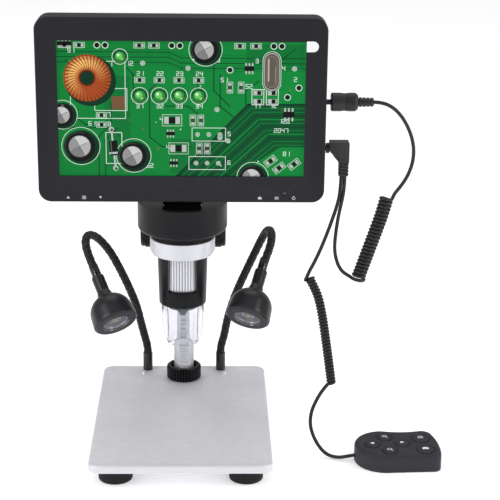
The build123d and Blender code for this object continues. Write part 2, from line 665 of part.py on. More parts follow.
with BuildPart() as carriage_block:
    with BuildSketch(Plane.XY.offset(CARRIAGE_BOTTOM)):
        with BuildLine():
            Polyline(
                (-CARRIAGE_WIDTH / 2, CARRIAGE_FRONT),
                (CARRIAGE_WIDTH / 2, CARRIAGE_FRONT),
                (CARRIAGE_WIDTH / 2, COLUMN_Y),
                (COLUMN_RADIUS + CARRIAGE_CORNER, CARRIAGE_BACK),
                (-COLUMN_RADIUS - CARRIAGE_CORNER, CARRIAGE_BACK),
                (-CARRIAGE_WIDTH / 2, COLUMN_Y),
                close=True,
            )
        make_face()
    extrude(amount=CARRIAGE_HEIGHT)
    fillet(carriage_block.edges().filter_by(Axis.Z), CARRIAGE_CORNER / 2)
    with BuildSketch(Plane.XY.offset(CARRIAGE_BOTTOM)):
        with Locations((0, COLUMN_Y)):
            Circle(COLUMN_RADIUS + SLIDE_FIT)
        with Locations((0, COLUMN_Y)):
            Rectangle(
                RACK_WIDTH + 2 * SEAT_FIT,
                COLUMN_Y - RACK_TIP + SEAT_FIT,
                align=(Align.CENTER, Align.MAX),
            )
    extrude(amount=CARRIAGE_HEIGHT, mode=Mode.SUBTRACT)
    with BuildSketch(Plane.YZ.offset(-CARRIAGE_WIDTH / 2)):
        with Locations((PINION_Y, PINION_Z)):
            Circle(PINION_SHAFT_RADIUS + SLIDE_FIT)
    extrude(amount=CARRIAGE_WIDTH, mode=Mode.SUBTRACT)
    with BuildSketch(Plane.YZ.offset(-CAVITY_HALF)):
        with Locations((PINION_Y, PINION_Z)):
            Circle(CAVITY_RADIUS)
    extrude(amount=CAVITY_HALF + CARRIAGE_WIDTH / 2, mode=Mode.SUBTRACT)
    with BuildSketch(Plane.XZ.offset(-CARRIAGE_FRONT)):
        with Locations((-RING_SCREW_X, RING_BOTTOM - RING_SCREW_DROP), (RING_SCREW_X, RING_BOTTOM - RING_SCREW_DROP)):
            Circle(RING_SCREW_RADIUS)
    extrude(amount=-RING_SCREW_BITE, mode=Mode.SUBTRACT)
save(carriage_block, "carriage_block")

with BuildPart() as pinion_bush:
    with BuildSketch(Plane.YZ.offset(CAVITY_HALF)):
        with Locations((PINION_Y, PINION_Z)):
            Circle(CAVITY_RADIUS)
            Circle(PINION_SHAFT_RADIUS + SLIDE_FIT, mode=Mode.SUBTRACT)
    extrude(amount=CARRIAGE_WIDTH / 2 - CAVITY_HALF)
save(pinion_bush, "pinion_bush")


def pinion_outline():
    """The pinion's outline, with involute flanks and one tooth pointing at the rack."""
    pressure = radians(GEAR_PRESSURE_ANGLE)
    base_radius = PINION_RADIUS * cos(pressure)
    root_radius = PINION_RADIUS - TOOTH_ROOT * GEAR_MODULE
    involute_at_pitch = tan(pressure) - pressure
    half_angle = (TOOTH_PITCH / 2 - GEAR_BACKLASH / 2) / (2 * PINION_RADIUS)

    def flank_angle(radius):
        """Half the tooth's angle at a radius, constant below the base circle."""
        turn = acos(min(1.0, base_radius / radius))
        return half_angle + involute_at_pitch - (tan(turn) - turn)

    steps = (root_radius, base_radius, PINION_RADIUS, PINION_TIP_RADIUS)
    points = []
    for tooth in range(PINION_TEETH):
        middle = 2 * pi * tooth / PINION_TEETH
        for radius in steps:
            angle = middle - flank_angle(max(radius, base_radius))
            points.append((radius * cos(angle), radius * sin(angle)))
        for radius in reversed(steps):
            angle = middle + flank_angle(max(radius, base_radius))
            points.append((radius * cos(angle), radius * sin(angle)))
    return points


with BuildPart() as pinion_shaft:
    gear_side = Plane(origin=(-PINION_FACE_WIDTH / 2, PINION_Y, PINION_Z), x_dir=(0, 1, 0), z_dir=(1, 0, 0))
    with BuildSketch(gear_side):
        with BuildLine():
            Polyline(*pinion_outline(), close=True)
        make_face()
    extrude(amount=PINION_FACE_WIDTH)
    shaft_half = KNOB_INNER_FACE + KNOB_GRIP_WIDTH
    with BuildSketch(Plane.YZ.offset(-shaft_half)):
        with Locations((PINION_Y, PINION_Z)):
            Circle(PINION_SHAFT_RADIUS)
    extrude(amount=2 * shaft_half)
save(pinion_shaft, "pinion_shaft")

with BuildPart() as focus_knobs:
    for side in (-1, 1):
        grip_plane = Plane(origin=(side * KNOB_INNER_FACE, PINION_Y, PINION_Z), z_dir=(side, 0, 0))
        with BuildSketch(grip_plane):
            Circle(KNOB_RADIUS)
            with PolarLocations(KNOB_RADIUS, KNOB_GROOVES):
                Circle(KNOB_GROOVE_RADIUS, mode=Mode.SUBTRACT)
        extrude(amount=KNOB_GRIP_WIDTH)
        with BuildSketch(grip_plane.offset(KNOB_GRIP_WIDTH)):
            Circle(KNOB_CAP_RADIUS)
        extrude(amount=KNOB_CAP_WIDTH)
        outer_face = focus_knobs.faces().sort_by(Axis.X)[-1 if side > 0 else 0]
        fillet(outer_face.edges(), KNOB_CAP_WIDTH / 2)
        with BuildSketch(grip_plane):
            Circle(PINION_SHAFT_RADIUS)
        extrude(amount=KNOB_GRIP_WIDTH, mode=Mode.SUBTRACT)
save(focus_knobs, "focus_knobs")

# ------------------------------------------------------------------ holder ring
RING_LUG_BOTTOM = CARRIAGE_BOTTOM

with BuildPart() as holder_ring:
    with BuildSketch(Plane.XY.offset(RING_BOTTOM + RING_STEP_HEIGHT)):
        with Locations((0, SCOPE_Y)):
            Circle(RING_RADIUS)
    extrude(amount=RING_HEIGHT - RING_STEP_HEIGHT)
    chamfer(holder_ring.faces().sort_by(Axis.Z)[-1].edges(), RING_CHAMFER)
    with BuildSketch(Plane.XY.offset(RING_BOTTOM)):
        with Locations((0, SCOPE_Y)):
            Circle(RING_STEP_RADIUS)
    extrude(amount=RING_STEP_HEIGHT)
    with BuildSketch(Plane.XY.offset(RING_LUG_BOTTOM)):
        with Locations((0, CARRIAGE_FRONT)):
            Rectangle(RING_LUG_WIDTH, RING_LUG_THICKNESS, align=(Align.CENTER, Align.MAX))
    extrude(amount=RING_TOP - RING_LUG_BOTTOM)
    with BuildSketch(Plane.XY.offset(RING_BOTTOM)):
        with Locations((0, SCOPE_Y)):
            Circle(RING_BORE)
    extrude(amount=RING_HEIGHT, mode=Mode.SUBTRACT)
    with BuildSketch(Plane.XZ.offset(-CARRIAGE_FRONT)):
        with Locations((-RING_SCREW_X, RING_BOTTOM - RING_SCREW_DROP), (RING_SCREW_X, RING_BOTTOM - RING_SCREW_DROP)):
            Circle(RING_SCREW_RADIUS)
    extrude(amount=4.0, mode=Mode.SUBTRACT)
save(holder_ring, "holder_ring")

with BuildPart() as ring_screws:
    with BuildSketch(Plane.XZ.offset(-(CARRIAGE_FRONT - 4.0))):
        with Locations((-RING_SCREW_X, RING_BOTTOM - RING_SCREW_DROP), (RING_SCREW_X, RING_BOTTOM - RING_SCREW_DROP)):
            Circle(RING_SCREW_HEAD_RADIUS)
    extrude(amount=RING_SCREW_HEAD)
    fillet(ring_screws.faces().group_by(Axis.Y)[0].edges(), 0.5)
    with BuildSketch(Plane.XZ.offset(-(CARRIAGE_FRONT - 4.0))):
        with Locations((-RING_SCREW_X, RING_BOTTOM - RING_SCREW_DROP), (RING_SCREW_X, RING_BOTTOM - RING_SCREW_DROP)):
            Circle(RING_SCREW_RADIUS)
    extrude(amount=-(4.0 + RING_SCREW_BITE))
save(ring_screws, "ring_screws")

# ------------------------------------------------------------------ barrel, cap and camera board
SCOPE_AXIS = Axis((0, SCOPE_Y, 0), (0, 0, 1))
SCOPE_PLANE = Plane(origin=(0, SCOPE_Y, 0), x_dir=(1, 0, 0), z_dir=(0, -1, 0))

FLOOR_TOP = BARREL_BOTTOM + BARREL_FLOOR
NECK_BOTTOM = BARREL_BOTTOM - NECK_LENGTH
NECK_BORE = NECK_RADIUS - NECK_WALL
BARREL_BORE = BARREL_RADIUS - BARREL_WALL

with BuildPart() as barrel_housing:
    with BuildSketch(SCOPE_PLANE):
        with BuildLine():
            Polyline(
                (NECK_BORE, BARREL_BOTTOM),
                (NECK_BORE, NECK_BOTTOM),
                (NECK_RADIUS, NECK_BOTTOM),
                (NECK_RADIUS, BARREL_BOTTOM),
                (BARREL_RADIUS - BARREL_EDGE, BARREL_BOTTOM),
            )
            RadiusArc(
                (BARREL_RADIUS - BARREL_EDGE, BARREL_BOTTOM),
                (BARREL_RADIUS, BARREL_BOTTOM + BARREL_EDGE),
                -BARREL_EDGE,
            )
            Polyline(
                (BARREL_RADIUS, BARREL_BOTTOM + BARREL_EDGE),
                (BARREL_RADIUS, BARREL_TOP),
                (BARREL_BORE, BARREL_TOP),
                (BARREL_BORE, FLOOR_TOP + 1.0),
                (BARREL_BORE - 1.0, FLOOR_TOP),
                (BAFFLE_BORE, FLOOR_TOP),
                (BAFFLE_BORE, WHEEL_TOP + SEAT_FIT),
                (BAFFLE_RADIUS, WHEEL_TOP + SEAT_FIT),
                (BAFFLE_RADIUS, BARREL_BOTTOM),
                (NECK_BORE, BARREL_BOTTOM),
            )
        make_face()
    revolve(axis=SCOPE_AXIS)
save(barrel_housing, "barrel_housing")

with BuildPart() as barrel_cap:
    with BuildSketch(Plane.XY.offset(BARREL_TOP - CAP_THICKNESS)):
        with Locations((0, SCOPE_Y)):
            Circle(BARREL_BORE)
    extrude(amount=CAP_THICKNESS)
    pocket_length = POCKET_BACK - POCKET_FRONT
    pocket_middle = (POCKET_BACK + POCKET_FRONT) / 2
    with BuildSketch(Plane.XY.offset(BARREL_TOP - POCKET_DEPTH - POCKET_FLOOR)):
        with Locations((0, pocket_middle)):
            Rectangle(POCKET_WIDTH + 2 * POCKET_WALL, pocket_length + 2 * POCKET_WALL)
        with Locations((0, SCOPE_Y)):
            Circle(BARREL_BORE, mode=Mode.INTERSECT)
    extrude(amount=POCKET_DEPTH + POCKET_FLOOR - CAP_THICKNESS / 2)
    with BuildSketch(Plane.XY.offset(BARREL_TOP - POCKET_DEPTH)):
        with Locations((0, pocket_middle)):
            RectangleRounded(POCKET_WIDTH, pocket_length, 1.0)
    extrude(amount=POCKET_DEPTH, mode=Mode.SUBTRACT)
    with BuildSketch(Plane.YZ.offset(-POCKET_WIDTH / 2 - POCKET_WALL)):
        with Locations((HINGE_Y, HINGE_Z)):
            Circle(HINGE_PIN_RADIUS)
    extrude(amount=POCKET_WIDTH + 2 * POCKET_WALL, mode=Mode.SUBTRACT)
save(barrel_cap, "barrel_cap")

with BuildPart() as hinge_pin:
    with BuildSketch(Plane.YZ.offset(-POCKET_WIDTH / 2 - POCKET_WALL)):
        with Locations((HINGE_Y, HINGE_Z)):
            Circle(HINGE_PIN_RADIUS)
    extrude(amount=POCKET_WIDTH + 2 * POCKET_WALL)
save(hinge_pin, "hinge_pin")

with BuildPart() as camera_board:
    with BuildSketch(Plane.XY.offset(FLOOR_TOP)):
        with Locations((0, SCOPE_Y)):
            Circle(CAMERA_BOARD_RADIUS)
    extrude(amount=BOARD_THICKNESS)
    with BuildSketch(Plane.XY.offset(FLOOR_TOP)):
        with Locations((0, SCOPE_Y)):
            Rectangle(SENSOR_SIZE, SENSOR_SIZE)
    extrude(amount=-SENSOR_HEIGHT)
save(camera_board, "camera_board")

# ------------------------------------------------------------------ sleeve, wheel, lens and hood
WINDOW_HALF_WIDTH = SLEEVE_TOP_RADIUS * sin(radians(WINDOW_HALF_ANGLE))

with BuildPart() as focus_sleeve:
    with BuildSketch(SCOPE_PLANE):
        with BuildLine():
            Polyline(
                (SLEEVE_BORE, SLEEVE_COLLAR_TOP),
                (SLEEVE_BORE, WINDOW_BOTTOM),
                (SLEEVE_LIP_BORE, WINDOW_BOTTOM),
                (SLEEVE_LIP_BORE, SLEEVE_BOTTOM - SPIGOT_LENGTH),
                (SPIGOT_RADIUS, SLEEVE_BOTTOM - SPIGOT_LENGTH),
                (SPIGOT_RADIUS, SLEEVE_BOTTOM),
                (SLEEVE_BOTTOM_RADIUS, SLEEVE_BOTTOM),
                (SLEEVE_TOP_RADIUS, NECK_BOTTOM),
                (NECK_BORE, NECK_BOTTOM),
                (NECK_BORE, SLEEVE_COLLAR_TOP),
                close=True,
            )
        make_face()
    revolve(axis=SCOPE_AXIS)
    lower_edge = focus_sleeve.edges().filter_by(GeomType.CIRCLE).filter_by(
        lambda edge: abs(edge.center().Z - SLEEVE_BOTTOM) < 0.01 and abs(edge.radius - SLEEVE_BOTTOM_RADIUS) < 0.01
    )
    fillet(lower_edge, SLEEVE_EDGE)
    with BuildSketch(Plane.XY.offset(WINDOW_BOTTOM)):
        with Locations((0, SCOPE_Y)):
            Rectangle(2 * WINDOW_HALF_WIDTH, 3 * SLEEVE_TOP_RADIUS)
    extrude(amount=WINDOW_TOP - WINDOW_BOTTOM, mode=Mode.SUBTRACT)
save(focus_sleeve, "focus_sleeve")

with BuildPart() as focus_wheel:
    wheel_bottom = WINDOW_BOTTOM + SLIDE_FIT
    with BuildSketch(Plane.XY.offset(wheel_bottom)):
        with Locations((0, SCOPE_Y)):
            Circle(WHEEL_COLLAR_RADIUS)
    extrude(amount=WHEEL_COLLAR_HEIGHT)
    with BuildSketch(Plane.XY.offset(wheel_bottom + WHEEL_COLLAR_HEIGHT)):
        with Locations((0, SCOPE_Y)):
            Circle(WHEEL_RADIUS)
            with PolarLocations(WHEEL_RADIUS, WHEEL_FLUTES):
                Circle(WHEEL_FLUTE_RADIUS, mode=Mode.SUBTRACT)
    extrude(amount=WHEEL_TOP - wheel_bottom - WHEEL_COLLAR_HEIGHT)
    with BuildSketch(Plane.XY.offset(wheel_bottom)):
        with Locations((0, SCOPE_Y)):
            Circle(LENS_TUBE_RADIUS + SLIDE_FIT)
    extrude(amount=WHEEL_TOP - wheel_bottom, mode=Mode.SUBTRACT)
save(focus_wheel, "focus_wheel")

with BuildPart() as lens_cell:
    with BuildSketch(SCOPE_PLANE):
        with BuildLine():
            Polyline(
                (FRONT_LENS_RADIUS, NOSE_TIP_Z),
                (NOSE_TIP_RADIUS, NOSE_TIP_Z),
                (NOSE_BASE_RADIUS, NOSE_BASE_Z),
                (NOSE_BASE_RADIUS, LENS_TUBE_BOTTOM),
                (LENS_TUBE_RADIUS, LENS_TUBE_BOTTOM),
                (LENS_TUBE_RADIUS, LENS_TUBE_TOP),
                (LENS_TUBE_RADIUS - LENS_TUBE_WALL, LENS_TUBE_TOP),
                (LENS_TUBE_RADIUS - LENS_TUBE_WALL, LENS_TUBE_BOTTOM + 2 * LENS_TUBE_WALL),
                (FRONT_LENS_RADIUS, LENS_TUBE_BOTTOM + LENS_TUBE_WALL),
                close=True,
            )
        make_face()
    revolve(axis=SCOPE_AXIS)
save(lens_cell, "lens_cell")

with BuildPart() as led_ring:
    with BuildSketch(Plane.XY.offset(LENS_TUBE_BOTTOM)):
        with Locations((0, SCOPE_Y)):
            Circle(LENS_TUBE_RADIUS - SLIDE_FIT)
            Circle(NOSE_BASE_RADIUS, mode=Mode.SUBTRACT)
    extrude(amount=-LED_RING_THICKNESS)
    with BuildSketch(Plane.XY.offset(LENS_TUBE_BOTTOM - LED_RING_THICKNESS)):
        with Locations((0, SCOPE_Y)):
            with PolarLocations((LENS_TUBE_RADIUS + NOSE_BASE_RADIUS) / 2, LED_COUNT):
                Rectangle(LED_SIZE, LED_SIZE)
    extrude(amount=-LED_HEIGHT)
save(led_ring, "led_ring")

with BuildPart() as clear_hood:
    hood_top = HOOD_RADII[0][0]
    seat_bottom = hood_top - SPIGOT_LENGTH
    outer = [(radius, height) for height, radius in HOOD_RADII]
    inner = [(radius - HOOD_WALL, height) for height, radius in reversed(HOOD_RADII[1:])]
    seat_radius = SPIGOT_RADIUS + SLIDE_FIT
    with BuildSketch(SCOPE_PLANE):
        with BuildLine():
            Polyline(*outer, *inner, (seat_radius, seat_bottom), (seat_radius, hood_top), close=True)
        make_face()
    revolve(axis=SCOPE_AXIS)
save(clear_hood, "clear_hood")


# ------------------------------------------------------------------ display
def facing(y, z=DISPLAY_CENTRE_Z):
    """A sketch plane that faces the user, at a depth y, with its own origin at height z."""
    return Plane(origin=(0, y, z), x_dir=(1, 0, 0), z_dir=(0, -1, 0))


with BuildPart() as display_bezel:
    with BuildSketch(facing(DISPLAY_FRONT)):
        RectangleRounded(DISPLAY_WIDTH, DISPLAY_HEIGHT, DISPLAY_CORNER)
    extrude(amount=-BEZEL_DEPTH)
    fillet(display_bezel.faces().sort_by(Axis.Y)[0].edges(), DISPLAY_FRONT_EDGE)
    with BuildSketch(facing(LCD_FRONT)):
        RectangleRounded(
            DISPLAY_WIDTH - 2 * DISPLAY_WALL,
            DISPLAY_HEIGHT - 2 * DISPLAY_WALL,
            DISPLAY_CORNER - DISPLAY_WALL,
        )
    extrude(amount=BEZEL_FACE - BEZEL_DEPTH, mode=Mode.SUBTRACT)
    with BuildSketch(facing(DISPLAY_FRONT, SCREEN_CENTRE_Z)):
        Rectangle(SCREEN_WIDTH, SCREEN_HEIGHT)
    extrude(amount=-BEZEL_FACE, mode=Mode.SUBTRACT)
    with BuildSketch(facing(LCD_FRONT)):
        with GridLocations(2 * POST_X, 2 * POST_Z, 2, 2):
            Circle(POST_RADIUS)
    extrude(amount=BEZEL_FACE - BEZEL_DEPTH)
    with BuildSketch(facing(BEZEL_BACK)):
        with GridLocations(2 * POST_X, 2 * POST_Z, 2, 2):
            Circle(DISPLAY_SCREW_RADIUS)
    extrude(amount=POST_HOLE_DEPTH, mode=Mode.SUBTRACT)
    with BuildSketch(facing(DISPLAY_FRONT, STATUS_Z)):
        with Locations((STATUS_X, 0)):
            Circle(STATUS_RADIUS)
    extrude(amount=-BEZEL_FACE, mode=Mode.SUBTRACT)
    with BuildSketch(Plane.XY.offset(DISPLAY_BOTTOM)):
        for group in KEY_GROUP_X:
            for key_x in group:
                with Locations((key_x, KEY_Y)):
                    Rectangle(KEY_WIDTH + 2 * KEY_CLEARANCE, KEY_DEPTH + 2 * KEY_CLEARANCE)
    extrude(amount=DISPLAY_WALL, mode=Mode.SUBTRACT)
    with BuildSketch(Plane.YZ.offset(DISPLAY_SIDE - DISPLAY_WALL)):
        with Locations((JACK_DEPTH_Y, JACK_Z[0]), (JACK_DEPTH_Y, JACK_Z[1])):
            Circle(JACK_RADIUS)
    extrude(amount=DISPLAY_WALL, mode=Mode.SUBTRACT)
save(display_bezel, "display_bezel")

SHELL_DEPTH = DISPLAY_THICKNESS - BEZEL_DEPTH
SHELL_INSIDE = DISPLAY_BACK - DISPLAY_BACK_WALL

with BuildPart() as rear_shell:
    with BuildSketch(facing(BEZEL_BACK)):
        RectangleRounded(DISPLAY_WIDTH, DISPLAY_HEIGHT, DISPLAY_CORNER)
    extrude(amount=-SHELL_DEPTH)
    fillet(rear_shell.faces().sort_by(Axis.Y)[-1].edges(), DISPLAY_BACK_EDGE)
    with BuildSketch(facing(BEZEL_BACK)):
        RectangleRounded(
            DISPLAY_WIDTH - 2 * DISPLAY_WALL,
            DISPLAY_HEIGHT - 2 * DISPLAY_WALL,
            DISPLAY_CORNER - DISPLAY_WALL,
        )
    extrude(amount=BEZEL_BACK - SHELL_INSIDE, mode=Mode.SUBTRACT)
    with BuildSketch(facing(BEZEL_BACK)):
        with GridLocations(2 * POST_X, 2 * POST_Z, 2, 2):
            Circle(DISPLAY_SCREW_HEAD_RADIUS + SHELL_BOSS_WALL)
    extrude(amount=BEZEL_BACK - SHELL_INSIDE)
    with BuildSketch(facing(BEZEL_BACK)):
        with GridLocations(2 * POST_X, 2 * POST_Z, 2, 2):
            Circle(DISPLAY_SCREW_RADIUS)
    extrude(amount=-SHELL_DEPTH, mode=Mode.SUBTRACT)
    with BuildSketch(facing(DISPLAY_BACK)):
        with GridLocations(2 * POST_X, 2 * POST_Z, 2, 2):
            Circle(DISPLAY_SCREW_HEAD_RADIUS)
    extrude(amount=DISPLAY_SCREW_HEAD + SCREW_RECESS, mode=Mode.SUBTRACT)
    with BuildSketch(facing(DISPLAY_BACK, 0)):
        with Locations((0, HINGE_SCREW_Z[0]), (0, HINGE_SCREW_Z[1])):
            Circle(DISPLAY_SCREW_RADIUS)
    extrude(amount=DISPLAY_BACK_WALL, mode=Mode.SUBTRACT)
save(rear_shell, "rear_shell")

with BuildPart() as lcd_module:
    with BuildSketch(facing(LCD_FRONT, SCREEN_CENTRE_Z)):
        Rectangle(LCD_WIDTH, LCD_HEIGHT)
    extrude(amount=-LCD_THICKNESS)
    with BuildSketch(facing(LCD_BACK, SCREEN_CENTRE_Z)):
        with Locations((DRIVER_X, 0)):
            with GridLocations(DRIVER_WIDTH - 3 * SPACER_RADIUS, DRIVER_HEIGHT - 3 * SPACER_RADIUS, 2, 2):
                Circle(SPACER_RADIUS)
    extrude(amount=-SPACER_HEIGHT)
save(lcd_module, "lcd_module")

with BuildPart() as driver_board:
    with BuildSketch(facing(DRIVER_FRONT, SCREEN_CENTRE_Z)):
        with Locations((DRIVER_X, 0)):
            Rectangle(DRIVER_WIDTH, DRIVER_HEIGHT)
    extrude(amount=-BOARD_THICKNESS)
    with BuildSketch(facing(DRIVER_FRONT + BOARD_THICKNESS, SCREEN_CENTRE_Z)):
        for chip_x, chip_z, chip_width, chip_height in DRIVER_CHIPS:
            with Locations((DRIVER_X + chip_x, chip_z)):
                Rectangle(chip_width, chip_height)
    extrude(amount=-DRIVER_CHIP_HEIGHT)
save(driver_board, "driver_board")

KEY_STEM_TOP = DISPLAY_BOTTOM + DISPLAY_WALL + SLIDE_FIT
SWITCH_BOTTOM = KEY_STEM_TOP + KEY_FLANGE + KEY_TRAVEL + KEY_STOP_GAP

with BuildPart() as key_strips:
    strip_bottom = SWITCH_BOTTOM + SWITCH_HEIGHT
    for group in KEY_GROUP_X:
        strip_left = group[0] - KEY_STRIP_MARGIN
        strip_right = group[-1] + KEY_STRIP_MARGIN
        with BuildSketch(Plane.XY.offset(strip_bottom)):
            with Locations(((strip_left + strip_right) / 2, LCD_FRONT)):
                Rectangle(strip_right - strip_left, KEY_STRIP_DEPTH, align=(Align.CENTER, Align.MIN))
        extrude(amount=KEY_STRIP_THICKNESS)
        with BuildSketch(Plane.XY.offset(strip_bottom)):
            for key_x in group:
                with Locations((key_x, KEY_Y)):
                    Rectangle(SWITCH_SIZE, SWITCH_SIZE)
        extrude(amount=-SWITCH_HEIGHT)
save(key_strips, "key_strips")

for key_x, key_name in zip(
    KEY_GROUP_X[0] + KEY_GROUP_X[1],
    ("menu_key", "up_key", "down_key", "ok_key", "shutter_key", "power_key"),
):
    with BuildPart() as display_key:
        with BuildSketch(Plane.XY.offset(DISPLAY_BOTTOM - KEY_PROUD)):
            with Locations((key_x, KEY_Y)):
                Rectangle(KEY_WIDTH, KEY_DEPTH)
        extrude(amount=KEY_STEM_TOP + KEY_PROUD - DISPLAY_BOTTOM)
        chamfer(display_key.faces().sort_by(Axis.Z)[0].edges(), KEY_CHAMFER)
        with BuildSketch(Plane.XY.offset(KEY_STEM_TOP)):
            with Locations((key_x, KEY_Y)):
                Rectangle(KEY_WIDTH + 2 * KEY_FLANGE, KEY_DEPTH + 2 * KEY_FLANGE)
        extrude(amount=KEY_FLANGE)
    save(display_key, key_name)

with BuildPart() as side_jacks:
    for jack_z in JACK_Z:
        with BuildSketch(Plane.YZ.offset(DISPLAY_SIDE - DISPLAY_WALL)):
            with Locations((JACK_DEPTH_Y, jack_z)):
                Rectangle(JACK_BODY_WIDTH, JACK_BODY_WIDTH)
        extrude(amount=-JACK_BODY)
        with BuildSketch(Plane.YZ.offset(DISPLAY_SIDE - DISPLAY_WALL)):
            with Locations((JACK_DEPTH_Y, jack_z)):
                Circle(JACK_RADIUS)
        extrude(amount=DISPLAY_WALL)
        with BuildSketch(Plane.YZ.offset(DISPLAY_SIDE)):
            with Locations((JACK_DEPTH_Y, jack_z)):
                Circle(JACK_PIN_RADIUS)
        extrude(amount=-JACK_BORE_DEPTH, mode=Mode.SUBTRACT)
save(side_jacks, "side_jacks")

with BuildPart() as hinge_neck:
    with BuildSketch(Plane.YZ):
        with Locations((HINGE_Y, HINGE_Z)):
            Circle(HINGE_KNUCKLE_RADIUS)
        with Locations((DISPLAY_BACK, HINGE_Z)):
            Rectangle(HINGE_ARM_BACK - DISPLAY_BACK, HINGE_ARM_TOP - HINGE_Z, align=(Align.MIN, Align.MIN))
        with Locations((HINGE_Y, HINGE_Z)):
            Circle(HINGE_PIN_RADIUS + SLIDE_FIT, mode=Mode.SUBTRACT)
    extrude(amount=POCKET_WIDTH / 2 - HINGE_SIDE_GAP, both=True)
    top_back = hinge_neck.faces().sort_by(Axis.Z)[-1].edges().sort_by(Axis.Y)[-1]
    fillet(top_back, HINGE_ARM_EDGE)
    with BuildSketch(facing(DISPLAY_BACK, 0)):
        with Locations((0, HINGE_SCREW_Z[0]), (0, HINGE_SCREW_Z[1])):
            Circle(DISPLAY_SCREW_RADIUS)
    extrude(amount=DISPLAY_BACK_WALL - DISPLAY_SCREW_LENGTH, mode=Mode.SUBTRACT)
save(hinge_neck, "hinge_neck")

with BuildPart() as display_screws:
    case_head = DISPLAY_BACK - DISPLAY_SCREW_HEAD - SCREW_RECESS
    with BuildSketch(facing(case_head)):
        with GridLocations(2 * POST_X, 2 * POST_Z, 2, 2):
            Circle(DISPLAY_SCREW_HEAD_RADIUS)
    extrude(amount=-DISPLAY_SCREW_HEAD)
    with BuildSketch(facing(case_head)):
        with GridLocations(2 * POST_X, 2 * POST_Z, 2, 2):
            Circle(DISPLAY_SCREW_RADIUS)
    extrude(amount=DISPLAY_SCREW_LENGTH)
    with BuildSketch(facing(SHELL_INSIDE, 0)):
        with Locations((0, HINGE_SCREW_Z[0]), (0, HINGE_SCREW_Z[1])):
            Circle(DISPLAY_SCREW_HEAD_RADIUS)
    extrude(amount=DISPLAY_SCREW_HEAD)
    with BuildSketch(facing(SHELL_INSIDE, 0)):
        with Locations((0, HINGE_SCREW_Z[0]), (0, HINGE_SCREW_Z[1])):
            Circle(DISPLAY_SCREW_RADIUS)
    extrude(amount=-DISPLAY_SCREW_LENGTH)
save(display_screws, "display_screws")

# ------------------------------------------------------------------ plugs
with BuildPart() as straight_plug:
    plug_plane = Plane(origin=(0, LEAD_Y, JACK_Z[0]), x_dir=(1, 0, 0), z_dir=(0, -1, 0))
    middle = (PLUG_START + PLUG_END) / 2
    pin_start = DISPLAY_SIDE - JACK_BORE_DEPTH + 0.5
    rib_pitch = PLUG_RELIEF_LENGTH / RELIEF_RIBS
    with BuildSketch(plug_plane):
        with BuildLine():
            Polyline(
                (pin_start, 0),
                (pin_start, PIN_RADIUS / 2),
                (pin_start + 1.0, PIN_RADIUS),
                (PLUG_START, PIN_RADIUS),
                (PLUG_START, PLUG_RADIUS - 0.6),
                (PLUG_START + 0.6, PLUG_RADIUS),
                (middle - 3.0, PLUG_RADIUS),
                (middle, PLUG_RADIUS - PLUG_WAIST),
                (middle + 3.0, PLUG_RADIUS),
                (PLUG_END - 2.6, PLUG_RADIUS),
            )
            ThreePointArc(
                (PLUG_END - 2.6, PLUG_RADIUS),
                (PLUG_END - 0.8, PLUG_RADIUS - 0.8),
                (PLUG_END, PLUG_RADIUS - 2.6),
            )
            ribs = [(PLUG_END, PLUG_RADIUS - 2.6)]
            for rib in range(RELIEF_RIBS):
                rib_start = PLUG_END + rib * rib_pitch
                rib_radius = PLUG_RELIEF_RADIUS - RELIEF_TAPER * rib
                ribs.append((rib_start, rib_radius - RELIEF_RIB_DEPTH))
                ribs.append((rib_start + rib_pitch / 2, rib_radius - RELIEF_RIB_DEPTH))
                ribs.append((rib_start + rib_pitch / 2, rib_radius))
                ribs.append((rib_start + rib_pitch, rib_radius))
            Polyline(*ribs, (PLUG_RELIEF_END, 0), (pin_start, 0))
        make_face()
    revolve(axis=Axis((0, LEAD_Y, JACK_Z[0]), (1, 0, 0)))
save(straight_plug, "straight_plug")

